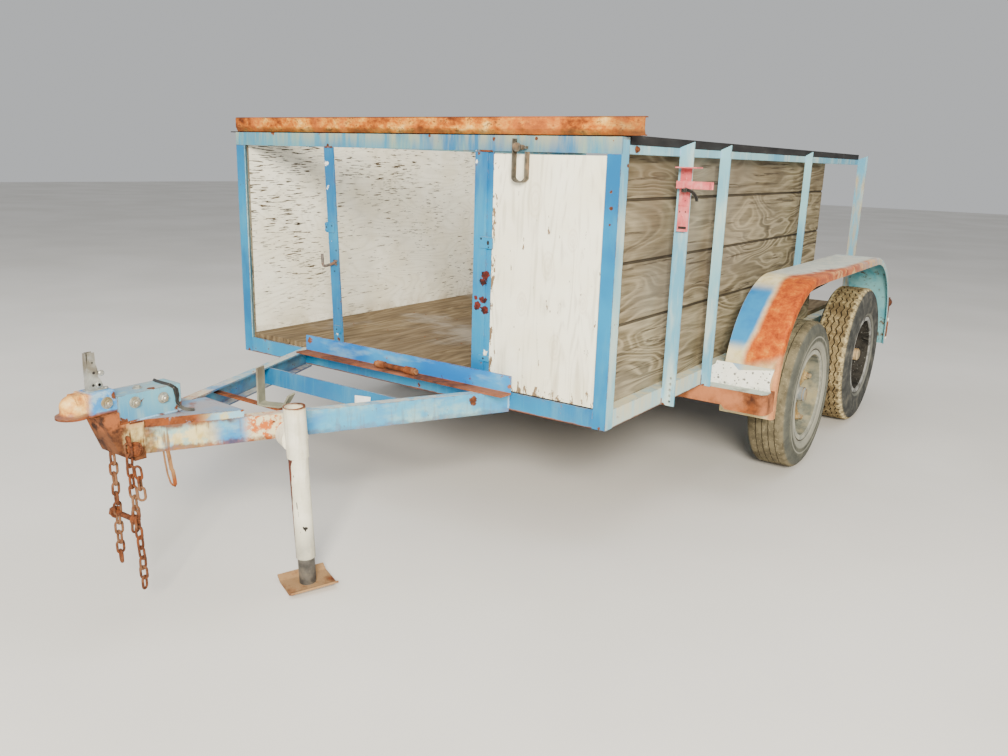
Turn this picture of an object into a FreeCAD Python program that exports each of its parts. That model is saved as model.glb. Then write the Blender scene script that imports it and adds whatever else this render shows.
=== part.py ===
import FreeCAD, Part
import Sketcher
import math
import os
from FreeCAD import Vector, Placement, Rotation, Matrix

# Tandem-axle utility trailer: an open angle-iron box on an A-frame tongue.
# Millimetres.  +X is the side with the jack, +Y runs to the rear, +Z up, ground at 0.
# The origin is on the ground in the middle of the whole outline.
# A "station" is a distance behind the front face of the box.

os.makedirs("parts", exist_ok=True)
doc = FreeCAD.newDocument("utility_trailer")

# ---------------------------------------------------------------- driving sizes
DIMS = [
    # alias, value
    ("front_station", -836), ("box_long", 2930), ("half_wide", 911), ("steel", 6), ("leg_wide", 50),
    ("rail_low", 450), ("rail_tall", 64), ("flange_wide", 55),
    ("top_low", 1334), ("top_high", 1385), ("side_top_low", 1335), ("side_top_tall", 27), ("side_top_wide", 43),
    ("cap_front", 30), ("cap_back", 28), ("cap_wide", 40),
    ("plank_thick", 22), ("plank_gap", 3), ("plank_pitch", 214),
    ("board_thick", 12), ("board_rear", 2375), ("board_high", 1341), ("groove_deep", 4),
    ("header_tall", 56), ("header_wall", 3.5), ("bar_thick", 4),
    ("tongue_slope", 1.667), ("tongue_low", 443), ("tongue_tall", 77), ("tongue_flange", 38),
    ("tongue_base", 525), ("tongue_ratio", 0.4355), ("tongue_front", -1100),
    ("ball_radius", 25.9), ("ball_station", -1274), ("ball_level", 642), ("flange_radius", 43),
    ("axle_one", 1402), ("axle_two", 2347), ("tube_radius", 30), ("spring_x", 760),
    ("tyre_front", 330), ("tyre_rear", 354), ("tyre_wide", 180), ("wheel_x", 1098), ("rim_radius", 190),
    ("spindle_radius", 19), ("running_fit", 0.06),
    ("fender_inner", 961), ("fender_wide", 220), ("fender_front", 900), ("fender_rear", 2900),
    ("fender_top", 860), ("fender_arc", 450), ("fender_low", 330), ("fender_sheet", 3), ("fender_lip", 35),
    ("jack_station", -757), ("jack_off", 78), ("jack_lean", 2.6), ("sleeve_radius", 33), ("outer_radius", 29.5),
    ("inner_radius", 26), ("jack_tube_low", 95), ("sleeve_low", 425), ("jack_top", 585),
    ("pivot_high", 476), ("spigot_radius", 30), ("foot_wide", 145), ("foot_long", 150), ("foot_rise", 3),
]
sheet = doc.addObject("Spreadsheet::Sheet", "dims")
D = {}
for row, (alias, value) in enumerate(DIMS, start=1):
    sheet.set("A%d" % row, alias)
    sheet.set("B%d" % row, str(value))
    sheet.setAlias("B%d" % row, alias)
    D[alias] = float(value)
doc.recompute()

F0 = D["front_station"]
HW, TH, LG = D["half_wide"], D["steel"], D["leg_wide"]
RL, RH = D["rail_low"], D["rail_low"] + D["rail_tall"]
LEFT, RIGHT, BACK, FRONT, UP, DOWN = (-1, 0, 0), (1, 0, 0), (0, 1, 0), (0, -1, 0), (0, 0, 1), (0, 0, -1)
NODES = []          # (node name, object)


def node(name, obj):
    obj.Label = name
    NODES.append((name, obj))
    return obj


def S(station):
    """Y of a station."""
    return F0 + station


def axes(origin, xdir, ydir):
    """Placement that lays local X and Y along the two given directions."""
    x = Vector(*xdir).normalize()
    y = Vector(*ydir).normalize()
    z = x.cross(y)
    return Placement(Matrix(x.x, y.x, z.x, origin[0], x.y, y.y, z.y, origin[1],
                            x.z, y.z, z.z, origin[2], 0, 0, 0, 1))


def at(x, y, z):
    return Placement(Vector(x, y, z), Rotation())


def origin_plane(body, role):
    for feature in body.Origin.OriginFeatures:
        if feature.Role == role:
            return feature
    raise RuntimeError("no plane " + role)


def sketch_on(body, name, role="XY_Plane"):
    sk = body.newObject("Sketcher::SketchObject", name)
    sk.AttachmentSupport = [(origin_plane(body, role), "")]
    sk.MapMode = "FlatFace"
    return sk


def outline(sk, path):
    """Closed outline.  (x, y) is a straight run to that point, (x, y, mx, my) an arc to it
    by way of (mx, my)."""
    last = Vector(path[-1][0], path[-1][1], 0)
    for p in path:
        end = Vector(p[0], p[1], 0)
        if len(p) == 4:
            i = sk.addGeometry(Part.Arc(last, Vector(p[2], p[3], 0), end), False)
        else:
            i = sk.addGeometry(Part.LineSegment(last, end), False)
        sk.addConstraint(Sketcher.Constraint("Block", i))
        last = end


def padded(name, path, length, place, holes=(), symmetric=False, expr=None):
    """Outline in local XY raised along local Z; holes are rows of (x, y, radius)."""
    body = doc.addObject("PartDesign::Body", name)
    sk = sketch_on(body, name + "_outline")
    outline(sk, path)
    for x, y, r in holes:
        i = sk.addGeometry(Part.Circle(Vector(x, y, 0), Vector(0, 0, 1), r), False)
        sk.addConstraint(Sketcher.Constraint("Block", i))
    pad = body.newObject("PartDesign::Pad", name + "_pad")
    pad.Profile = sk
    pad.Length = length
    if symmetric:
        pad.Midplane = True
    if expr:
        pad.setExpression("Length", expr)
    sk.Visibility = False
    body.Placement = place
    return body


def revolved(name, path, place):
    """Outline of (radius, height) turned about local Z."""
    body = doc.addObject("PartDesign::Body", name)
    sk = sketch_on(body, name + "_section", "XZ_Plane")
    outline(sk, path)
    turn = body.newObject("PartDesign::Revolution", name + "_turn")
    turn.Profile = sk
    turn.ReferenceAxis = (sk, ["V_Axis"])
    turn.Angle = 360
    sk.Visibility = False
    body.Placement = place
    return body


def angle(name, p0, p1, adir, bdir, leg_a=None, leg_b=None, place=None):
    """Angle section whose outer corner runs from p0 to p1; its legs lie along adir and bdir."""
    a, b = Vector(*adir).normalize(), Vector(*bdir).normalize()
    q0, q1 = Vector(*p0), Vector(*p1)
    if (q1 - q0).dot(a.cross(b)) < 0:
        q0, q1 = q1, q0
    la = leg_a if leg_a is not None else LG
    lb = leg_b if leg_b is not None else LG
    body = doc.addObject("PartDesign::Body", name)
    sk = sketch_on(body, name + "_section")
    pts = [(0, 0), (la, 0), (la, TH), (TH, TH), (TH, lb), (0, lb)]
    for i in range(6):
        x0, y0 = pts[i]
        x1, y1 = pts[(i + 1) % 6]
        sk.addGeometry(Part.LineSegment(Vector(x0, y0, 0), Vector(x1, y1, 0)), False)
    for i in range(6):
        sk.addConstraint(Sketcher.Constraint("Coincident", i, 2, (i + 1) % 6, 1))
        sk.addConstraint(Sketcher.Constraint("Horizontal" if i % 2 == 0 else "Vertical", i))
    sk.addConstraint(Sketcher.Constraint("Coincident", 0, 1, -1, 1))
    rows = [
        ("leg_a", Sketcher.Constraint("DistanceX", 0, 1, 0, 2, la), "dims.leg_wide" if leg_a is None else None),
        ("leg_b", Sketcher.Constraint("DistanceY", 5, 2, 5, 1, lb), "dims.leg_wide" if leg_b is None else None),
        ("thick_a", Sketcher.Constraint("DistanceY", 1, 1, 1, 2, TH), "dims.steel"),
        ("thick_b", Sketcher.Constraint("DistanceX", 4, 2, 3, 2, TH), "dims.steel"),
    ]
    for label, constraint, expr in rows:
        idx = sk.addConstraint(constraint)
        sk.renameConstraint(idx, label)
        if expr:
            sk.setExpression("Constraints." + label, expr)
    pad = body.newObject("PartDesign::Pad", name + "_pad")
    pad.Profile = sk
    pad.Length = (q1 - q0).Length
    sk.Visibility = False
    laid = axes((q0.x, q0.y, q0.z), adir, bdir)
    body.Placement = place.multiply(laid) if place is not None else laid
    return body


def block(name, lo, hi, place=None, high=None):
    b = doc.addObject("Part::Box", name)
    b.Length, b.Width, b.Height = hi[0] - lo[0], hi[1] - lo[1], hi[2] - lo[2]
    if high:
        b.setExpression("Height", high)
    laid = at(*lo)
    b.Placement = place.multiply(laid) if place is not None else laid
    return b


def rod(name, p0, p1, radius, place=None, expr=None):
    a, b = Vector(*p0), Vector(*p1)
    c = doc.addObject("Part::Cylinder", name)
    c.Radius = radius
    c.Height = (b - a).Length
    if expr:
        c.setExpression("Radius", expr)
    laid = Placement(a, Rotation(Vector(0, 0, 1), b - a))
    c.Placement = place.multiply(laid) if place is not None else laid
    return c


def fused(name, parts):
    f = doc.addObject("Part::MultiFuse", name)
    f.Shapes = parts
    f.Refine = True
    return f


def cut(name, base, tool):
    c = doc.addObject("Part::Cut", name)
    c.Base, c.Tool = base, tool
    c.Refine = True
    return c


def common(name, base, tool):
    c = doc.addObject("Part::Common", name)
    c.Base, c.Tool = base, tool
    return c


def grouped(name, parts):
    g = doc.addObject("Part::Compound", name)
    g.Links = parts
    return g


def mirrored(name, source):
    m = doc.addObject("Part::Mirroring", name)
    m.Source = source
    m.Base = Vector(0, 0, 0)
    m.Normal = Vector(1, 0, 0)
    return m


# ================================================================ box frame
BL, TL, TT = D["box_long"], D["top_low"], D["top_high"]
FW = D["flange_wide"]
post_in = HW - LG
inner = HW - FW                          # edge of the side channels' flanges

node("frame_rail_front", angle("frame_rail_front", (-post_in, S(0), RL), (post_in, S(0), RL), UP, BACK,
                               leg_a=D["rail_tall"]))
node("frame_rail_rear", angle("frame_rail_rear", (-inner, S(BL), RL), (inner, S(BL), RL), UP, FRONT,
                              leg_a=D["rail_tall"]))
chan = [(0, 0), (FW, 0), (FW, TH), (TH, TH), (TH, RH - RL - TH), (FW, RH - RL - TH), (FW, RH - RL), (0, RH - RL)]
right_rail = padded("frame_rail_right", chan, BL - LG, axes((HW, S(LG), RL), LEFT, UP),
                    expr="dims.box_long - dims.leg_wide")
node("frame_rail_right", right_rail)
node("frame_rail_left", mirrored("frame_rail_left", right_rail))


# front corner posts: the side leg runs on up behind the top rail
def front_post(name, side):
    post = angle(name + "_angle", (side * HW, S(0), RL), (side * HW, S(0), TL), (-side, 0, 0), BACK)
    x0, x1 = sorted((side * HW, side * (HW - TH)))
    return fused(name, [post, block(name + "_ear", (x0, S(TH), TL), (x1, S(LG), TT - TH))])


node("corner_post_front_right", front_post("corner_post_front_right", 1))
node("corner_post_front_left", front_post("corner_post_front_left", -1))

# side posts: one leg stands out from the side facing forward, the other lies on the rail
POSTS = [
    # name, station, standing leg, holes in its foot
    ("one", 426, 50, 5),
    ("two", 795, 40, 0),
    ("three", 1870, 32, 0),
    ("rear", 2880, 50, 0),
]


def side_post(name, station, leg, count):
    inner_top, outer_top = 1365.0, 1384.0
    rows = [(leg * 0.62, 16 + 22 * i, 5.0) for i in range(count)]
    face = padded(name + "_face", [(0, 0), (leg, 0), (leg, outer_top - RL), (0, inner_top - RL)], TH,
                  axes((HW, S(station + TH), RL), RIGHT, UP), holes=rows, expr="dims.steel")
    flat = block(name + "_flat", (HW, S(station + TH), RL), (HW + TH, S(station + LG), inner_top))
    return fused(name, [face, flat])


made = [side_post("post_" + n, st, leg, count) for n, st, leg, count in POSTS]
posts_right = grouped("side_posts_right", made[:3])
node("side_posts_right", posts_right)
node("side_posts_left", mirrored("side_posts_left", posts_right))
node("rear_posts", grouped("rear_posts", [made[3], mirrored("post_rear_left", made[3])]))

# uprights in the front: the left one leans back at its foot
deck = RH + D["plank_thick"]
LEAN = Placement(Vector(0, S(0), TL), Rotation(Vector(1, 0, 0), 2.65))
foot_run = -(TL - deck) / math.cos(math.radians(2.65)) + 0.2
node("front_upright_left", angle("front_upright_left", (-384, 0, foot_run), (-384, 0, -0.4), RIGHT, BACK,
                                 leg_b=32, place=LEAN))
up_angle = angle("upright_angle", (354, S(0), RH), (354, S(0), TL), RIGHT, BACK, leg_a=53, leg_b=40)
stile = block("upright_stile", (392, S(TH), RH), (428, S(TH + 6), TL - 4))
node("front_upright_right", fused("front_upright_right", [up_angle, stile]))

# top rails, the dark strips lying on the side ones, the header channel on its flat bar
node("top_rail_front", angle("top_rail_front", (-HW, S(0), TT), (HW, S(0), TT), BACK, DOWN, leg_b=TT - TL))
side_top = angle("top_rail_right", (HW, S(LG), D["side_top_low"]), (HW, S(BL), D["side_top_low"]), UP, LEFT,
                 leg_a=D["side_top_tall"], leg_b=D["side_top_wide"])
node("top_rail_right", side_top)
node("top_rail_left", mirrored("top_rail_left", side_top))
cap_z = D["side_top_low"] + D["side_top_tall"]
cap_right = padded("side_cap_right", [(S(62), cap_z), (S(BL - 50), cap_z), (S(BL - 50), cap_z + D["cap_back"]),
                                      (S(62), cap_z + D["cap_front"])], D["cap_wide"],
                   axes((HW - D["cap_wide"], 0, 0), BACK, UP), expr="dims.cap_wide")
node("side_caps", grouped("side_caps", [cap_right, mirrored("side_cap_left", cap_right)]))
HT, HWL = D["header_tall"], D["header_wall"]
header_bar = block("header_bar", (-967, S(19), TT), (905, S(39), TT + D["bar_thick"]), high="dims.bar_thick")
# a shallow channel open to the rear, its lower corner folded back
fold = [(9, 0), (22, 0), (22, HWL), (9 + HWL * 0.65, HWL), (HWL, 18), (HWL, HT - 5.5), (6, HT - HWL), (22, HT - HWL),
        (22, HT), (4, HT), (0, HT - 4), (0, 17)]
header = padded("header_fold", fold, 1890, axes((-910, S(2), TT + D["bar_thick"]), BACK, UP))
node("header_channel", grouped("header_channel", [header_bar, header]))

# floor: cross angles under lengthwise planks
JOISTS = [420, 840, 1260, 1680, 2100, 2520]         # stations
node("floor_joists", grouped("floor_joists", [
    angle("joist_%d" % i, (-inner, S(st), RH), (inner, S(st), RH), BACK, DOWN) for i, st in enumerate(JOISTS)]))
planks = []
half_gap = D["plank_gap"] / 2
for i in range(8):
    x0 = -inner + i * D["plank_pitch"]
    start = 20 if x0 > 400 else 8
    plank = block("plank_%d" % i, (x0 + half_gap, S(start), RH),
                  (x0 + D["plank_pitch"] - half_gap, S(BL - 6), deck), high="dims.plank_thick")
    if x0 < 354 < x0 + D["plank_pitch"]:                 # notched round the foot of the right upright
        plank = cut("plank_notched", plank, block("plank_notch", (352.5, S(0), RH - 1), (430, S(41.5), deck + 1)))
    planks.append(plank)
node("floor_planks", grouped("floor_planks", planks))

# infill: grooved side boards and the fixed panel of the right front bay
BT, GD, BH = D["board_thick"], D["groove_deep"], D["board_high"]
path = [(0, BH - RH)]
for seam in (1192, 986, 780):
    z = seam - RH
    path += [(0, z + 5), (GD, z + 4), (GD, z - 4), (0, z - 5)]
path += [(0, 0), (BT, 0), (BT, BH - RH)]
board = padded("side_boards_right", path, D["board_rear"] - 20, axes((inner + BT, S(20), RH), LEFT, UP))
node("side_boards_right", board)
node("side_boards_left", mirrored("side_boards_left", board))
node("front_panel", padded("front_panel", [(429, 518), (868, 518), (868, 1328), (429, 1324)], BT,
                           axes((0, S(18), 0), RIGHT, UP), expr="dims.board_thick"))

# small plates left on the two uprights
tabs = []
for i, (x0, x1, z0, z1, deep) in enumerate([
        # on the left upright, along its lean: x from, x to, level from, level to, thickness
        (-397, -347, 1006, 1046, 4), (-381, -342, 597, 629, 4), (-418, -317, 884, 909, 8)]):
    tabs.append(block("tab_left_%d" % i, (x0, -deep, z0 - TL), (x1, 0, z1 - TL), place=LEAN))
for i, (x0, x1, z0, z1) in enumerate([(381, 438, 1008, 1045), (384, 433, 609, 630)]):
    tabs.append(block("tab_right_%d" % i, (x0, S(-4), z0), (x1, S(0), z1)))
node("gate_hinges", grouped("gate_hinges", tabs))

# strap loop hanging in front of the top rail, and the bolt it hangs on
loop = padded("loop_strap", [(521, 1375), (521, 1249), (549, 1235, 530.5, 1239.5), (576, 1249, 567, 1239.5), (576, 1334),
                             (572, 1334), (572, 1251), (549, 1239, 563.5, 1243), (525, 1251, 534, 1243), (525, 1375)],
              24, axes((0, S(0), 0), RIGHT, UP))
loop_bolt = rod("loop_bolt", (549, S(-34), 1348), (549, S(0), 1348), 8)
loop_head = rod("loop_head", (549, S(-40), 1348), (549, S(-32), 1348), 14)
loop_bar = block("loop_bar", (525, S(-22), 1344), (572, S(-4), 1352))
node("latch_loop", fused("latch_loop", [loop, loop_bolt, loop_head, loop_bar]))

# bottle bracket on the first side post
bs0 = S(426)
bracket = [
    block("bracket_back", (921, bs0 - 4, 1083), (961, bs0, 1298)),
    block("bracket_top", (921, bs0 - 52, 1297), (998, bs0, 1301)),
    block("bracket_band", (919, bs0 - 30, 1229), (1051, bs0 - 27, 1254)),
    block("bracket_band_in", (919, bs0 - 27, 1229), (922, bs0 - 3.9, 1254)),
    block("bracket_band_end", (1048, bs0 - 44, 1229), (1051, bs0 - 27.1, 1254)),
    block("bracket_foot", (925, bs0 - 14, 1083), (957, bs0 - 3.9, 1088)),
]
node("extinguisher_bracket", fused("extinguisher_bracket", bracket))

# ================================================================ tongue
# Level drawing: y is the station, z the height above the rails' underside.  TILT lays it on the slope.
TILT = Placement(Vector(0, S(0), D["tongue_low"]), Rotation(Vector(1, 0, 0), -D["tongue_slope"]))
k, base_x = D["tongue_ratio"], D["tongue_base"]
half = math.atan(k)
tdir = Vector(math.sin(half), math.cos(half), 0)     # along the right rail, to the rear
ndir = Vector(math.cos(half), -math.sin(half), 0)    # out of the right rail's face
TTL, FL, TF = D["tongue_tall"], D["tongue_flange"], D["tongue_front"]


def rail_x(station):
    return base_x + k * station


def lift(station):
    """Level of the rails' underside at a station."""
    return D["tongue_low"] - station * math.tan(math.radians(D["tongue_slope"]))


csec = [(0, 0), (FL, 0), (FL, TH), (TH, TH), (TH, TTL - TH), (FL, TTL - TH), (FL, TTL), (0, TTL)]
start = Vector(rail_x(-1260), -1260, 0)
raw = padded("tongue_raw", csec, 1500, TILT.multiply(axes((start.x, start.y, 0), (-ndir.x, -ndir.y, 0), UP)))
keep = block("tongue_keep", (2.5, S(TF), 380), (900, S(0), 700))
rail_r = common("tongue_rail_right", raw, keep)
node("tongue_rail_right", rail_r)
node("tongue_rail_left", mirrored("tongue_rail_left", rail_r))

# gusset plate above the rails' front, with edge strips standing on them
GZ = TTL + 17
plate = padded("gusset_plate", [(-46, -1143), (46, -1143), (46, -1100), (156, -848), (-44, -837), (-60, -1000),
                                (-46, -1100)], 6, TILT.multiply(at(0, 0, GZ)))
strip_w = 8 / math.cos(half)
strip_r = padded("gusset_strip_right", [(46, -1100), (156, -848), (156 - strip_w, -848), (46 - strip_w, -1100)], GZ - TTL,
                 TILT.multiply(at(0, 0, TTL)))
strip_l = padded("gusset_strip_left", [(-46, -1100), (-60, -1000), (-52, -1000), (-38, -1100)], GZ - TTL,
                 TILT.multiply(at(0, 0, TTL)))
gusset = fused("tongue_gusset", [plate, strip_r, strip_l])
node("tongue_gusset", gusset)
gusset_low = lift(-1143) + GZ

# nose block: a prow under the coupler
NOSE = [(-1219, 601), (-1203, 556), (-1177, 489), (-1136, 462), (-1100, 462), (-1100, gusset_low - 0.6),
        (-1143.5, gusset_low), (-1143.5, 574.5), (-1170, 574.5), (-1170, 611.5), (-1213, 611.5)]
node("tongue_nose", cut("tongue_nose", padded("nose_solid", [(S(y), z) for y, z in NOSE], 92, axes((-46, 0, 0), BACK, UP)), gusset))

# cross member between the rails
xm = -345.0
node("tongue_crossmember", angle("tongue_crossmember", (-367.5, xm, TH), (367.5, xm, TH), UP, BACK, leg_a=64, leg_b=28,
                                 place=TILT))

# flat strap with a curled foot, standing on a thin bar between the rails
strap_at = -672.0
hook_path = [(0, 0), (5, 0), (5, -113), (12, -119, 7, -117), (58, -117), (90, -100, 79, -112), (101, -78),
             (96, -76), (86, -96), (58, -122, 76, -117)]
hook_path = [(-2.5, 0), (2.5, 0), (2.5, -113), (9, -119, 4.5, -117), (60, -119), (92, -103, 80, -115), (104, -80),
             (109, -83), (96, -107), (60, -124, 83, -120.5), (4, -124), (-2.5, -118, -0.5, -122)]
node("tongue_strap", padded("tongue_strap", hook_path, 45, axes((20, S(strap_at), 645), (0.93, 0.37, 0), UP), symmetric=True))
strap_bar = padded("strap_bar", [(-rail_x(-678) + 8, -678), (rail_x(-678) - 8, -678), (rail_x(-652) - 8, -652),
                                 (-rail_x(-652) + 8, -652)], 5, TILT.multiply(at(0, 0, 520 - 5 - lift(-672))))
node("tongue_tie", strap_bar)

# sill angle across the rails in front of the box, and the bar lying on it
node("front_sill", angle("front_sill", (-455, -50, TTL), (565, -50, TTL), UP, FRONT, leg_a=67, leg_b=60, place=TILT))
roll_z = TTL + TH + 14
node("sill_roller", fused("sill_roller", [
    rod("roller_core", (-40, -85, roll_z), (166, -85, roll_z), 10.5, place=TILT),
    rod("roller_collar_a", (-30, -85, roll_z), (8, -85, roll_z), 14, place=TILT),
    rod("roller_collar_b", (112, -85, roll_z), (156, -85, roll_z), 14, place=TILT)]))

# coupler channel, open underneath, and the coupler with its ball socket
channel = padded("channel_folded", [(-41, 575), (-36, 575), (-36, 650), (36, 650), (36, 575), (41, 575), (41, 655),
                                    (-41, 655)], 194, axes((0, S(-975), 0), RIGHT, UP))
node("coupler_channel", cut("coupler_channel", channel, gusset))
b_st, b_z, BR, FR = D["ball_station"], D["ball_level"], D["ball_radius"], D["flange_radius"]
# the dome is a true ball cap, its centre on the axis
dome_r = BR + 4.6
h_z = b_z - 10                                      # level the housing behind the dome is drawn from
dome = revolved("coupler_dome", [(0, b_z - 30), (FR, b_z - 30), (FR, b_z - 23), (dome_r + 3, b_z - 19), (dome_r, b_z - 12), (dome_r, b_z),
                                 (0, b_z + dome_r, dome_r * math.sqrt(0.5), b_z + dome_r * math.sqrt(0.5))],
                at(0, S(b_st), 0))
hull = padded("coupler_hull", [(-35, h_z - 20), (35, h_z - 20), (35, h_z + 33), (25, h_z + 43, 32.1, h_z + 40.1),
                               (-25, h_z + 43), (-35, h_z + 33, -32.1, h_z + 40.1)], -1172 - b_st - 26,
              axes((0, S(-1172), 0), RIGHT, UP))
neck = padded("coupler_neck", [(-30, h_z - 20), (30, h_z - 20), (30, h_z + 22), (18, h_z + 41), (-18, h_z + 41), (-30, h_z + 22)], 30,
              axes((0, S(b_st + 30), 0), RIGHT, UP))
tail = block("coupler_tail", (-35.5, S(-1172), h_z - 20), (35.5, S(-1112), 649.5))
hollow = block("coupler_hollow", (-29, S(b_st + 42), h_z - 25), (29, S(-1176), h_z + 36))
hollow_tail = block("coupler_hollow_tail", (-29, S(-1178), h_z - 25), (29, S(-1105), 643))
socket = fused("socket_space", [
    padded_ball for padded_ball in [revolved("socket_ball", [(0, b_z - 45), (BR, b_z - 45), (BR, b_z), (0, b_z + BR, BR * math.sqrt(0.5), b_z + BR * math.sqrt(0.5))],
                                             at(0, S(b_st), 0)), hollow, hollow_tail]])
shell = fused("coupler_outer", [dome, neck, hull, tail])
node("coupler", cut("coupler", shell, socket))

# latch lever standing on the coupler
latch_path = [(-1228, 675), (-1187, 675), (-1187, 694), (-1195, 710), (-1200, 745), (-1203, 777), (-1221, 780), (-1228, 700)]
node("coupler_latch", fused("coupler_latch", [
    padded("latch_plate", [(S(y), z) for y, z in latch_path], 12, axes((-6, 0, 0), BACK, UP)),
    rod("latch_knob", (-14, S(-1200), 700), (22, S(-1200), 700), 6)]))

# safety chains: plain hanging lengths with the bolt that joins them
CHAINS = [
    # name, top (x, station, z), bottom (x, station, z)
    ("right", (58, -1158, 520), (62, -1146, 66)),
    ("left", (-30, -1157, 466), (-50, -1146, 130)),
]
node("safety_chains", grouped("safety_chains", [
    rod("chain_" + n, (a[0], S(a[1]), a[2]), (b[0], S(b[1]), b[2]), 11) for n, a, b in CHAINS] + [
    rod("chain_bolt", (-52, S(-1149), 288), (49, S(-1152), 292), 6)]))

# ================================================================ jack
js, off = D["jack_station"], D["jack_off"]
JY = S(js)
JX = rail_x(js - off * ndir.y) + off * ndir.x
PZ = D["pivot_high"]


def out(distance):
    """Point on the swivel axis at a distance outside the rail's face."""
    return (JX - ndir.x * (off - distance), JY - ndir.y * (off - distance), PZ)


FIT, SPR = D["running_fit"], D["spigot_radius"]
node("jack_mount", cut("jack_mount", rod("mount_out", out(0), out(26), 41),
                       rod("mount_in", out(-3), out(30), SPR + FIT, expr="dims.spigot_radius + dims.running_fit")))
SLR, OUR, INR = D["sleeve_radius"], D["outer_radius"], D["inner_radius"]
sleeve = fused("sleeve_all", [
    rod("sleeve_out", (JX, JY, D["sleeve_low"]), (JX, JY, D["jack_top"]), SLR, expr="dims.sleeve_radius"),
    rod("sleeve_collar", out(27), out(off - 14), 41),
    rod("sleeve_spigot", out(3), out(off - 14), SPR, expr="dims.spigot_radius")])
# the whole jack leans a little on its swivel, foot to the rear
JACK_LEAN = Placement(Vector(0, 0, 0), Rotation(Vector(ndir.x, ndir.y, 0), D["jack_lean"]), Vector(*out(off)))


def leaning(made):
    made.Placement = JACK_LEAN.multiply(made.Placement)
    return made


RISE = D["foot_rise"]
node("jack_sleeve", leaning(cut("jack_sleeve", sleeve, rod("sleeve_bore", (JX, JY, D["sleeve_low"] - 60), (JX, JY, D["jack_top"] + 9),
                                                            OUR, expr="dims.outer_radius"))))
node("jack_tube", leaning(cut("jack_tube", rod("tube_out", (JX, JY, D["jack_tube_low"]), (JX, JY, D["jack_top"] - 3), OUR,
                                               expr="dims.outer_radius"),
                              rod("tube_in", (JX, JY, D["jack_tube_low"] - 9), (JX, JY, D["jack_top"] + 9), INR + FIT,
                                  expr="dims.inner_radius + dims.running_fit"))))
node("jack_leg", leaning(cut("jack_leg", rod("leg_out", (JX, JY, RISE + 6), (JX, JY, 470), INR, expr="dims.inner_radius"),
                             rod("leg_in", (JX, JY, RISE + 26), (JX, JY, 480), INR - 4, expr="dims.inner_radius - 4"))))
fw = D["foot_wide"] / 2
foot_path = [(-fw, 13), (-fw + 26, 0), (fw - 26, 0), (fw, 13), (fw - 2.5, 18.5), (fw - 27, 6), (-fw + 27, 6), (-fw + 2.5, 18.5)]
node("jack_foot", leaning(padded("jack_foot", foot_path, D["foot_long"], axes((JX, JY, RISE), (ndir.x, ndir.y, 0), UP), symmetric=True)))

# ================================================================ running gear
# the rear tyres are larger than the front ones, so each axle lies at its own tyres' radius
AXLES = [("front", D["axle_one"], D["tyre_front"]), ("rear", D["axle_two"], D["tyre_rear"])]
WX, SR, SX = D["wheel_x"], D["spindle_radius"], D["spring_x"]
DROP = {"front": D["tyre_front"] - 360, "rear": D["tyre_rear"] - 360}      # of the springs drawn for an axle at 360
for name, st, AZ in AXLES:
    parts = [rod("axle_tube_" + name, (-880, S(st), AZ), (880, S(st), AZ), D["tube_radius"], expr="dims.tube_radius")]
    for side, tag in ((1, "right"), (-1, "left")):
        parts.append(rod("spindle_%s_%s" % (name, tag), (side * 870, S(st), AZ), (side * (WX + 10), S(st), AZ), SR,
                         expr="dims.spindle_radius"))
        parts.append(rod("shoulder_%s_%s" % (name, tag), (side * 870, S(st), AZ), (side * (WX - 88), S(st), AZ), 25))
    node("axle_" + name, fused("axle_" + name, parts))

# leaf springs under the axles: four leaves, two eyes, a clamp plate and its four bolts
LEAVES = [
    # half length, rise of the ends, level of the top at the middle
    (318, 24.0, 330), (238, 13.4, 322), (160, 6.1, 314), (84, 1.7, 306),
]


def spring(name, x, st, dz):
    parts = [padded("%s_leaf%d" % (name, i), [(-hl, top + rise + dz), (hl, top + rise + dz, 0, top + dz), (hl, top + rise - 8 + dz),
                                              (-hl, top + rise - 8 + dz, 0, top - 8 + dz)], 44, axes((x - 22, S(st), 0), BACK, UP))
             for i, (hl, rise, top) in enumerate(LEAVES)]
    parts += [rod("%s_eye%d" % (name, j), (x - 22, S(st + j * 320), 352 + dz), (x + 22, S(st + j * 320), 352 + dz), 14) for j in (-1, 1)]
    parts.append(block(name + "_plate", (x - 45, S(st - 50), 286 + dz), (x + 45, S(st + 50), 298 + dz)))
    for i, (sx, sy) in enumerate([(-36, -38), (36, -38), (36, 38), (-36, 38)]):
        parts.append(rod("%s_bolt%d" % (name, i), (x + sx, S(st + sy), 278 + dz), (x + sx, S(st + sy), 398 + dz), 6))
    for j in (-38, 38):
        parts.append(block("%s_yoke%d" % (name, j), (x - 42, S(st + j - 6), 390 + dz), (x + 42, S(st + j + 6), 402 + dz)))
    # bored for the pins, and its corner clear of the rocker
    free = [rod("%s_bore%d" % (name, j), (x - 40, S(st + j * 320), 352 + dz), (x + 40, S(st + j * 320), 352 + dz), 7.2) for j in (-1, 1)]
    free.append(block(name + "_corner", (x + 18.5, S(1700), 330 + dz), (x + 30, S(2050), 410 + dz)))
    return cut(name + "_bored", fused(name, parts), fused(name + "_free", free))


node("leaf_springs", grouped("leaf_springs", [spring("spring_%s_%s" % (tag, name), side * SX, st, DROP[name])
                                               for side, tag in ((1, "right"), (-1, "left")) for name, st, AZ in AXLES]))

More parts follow.
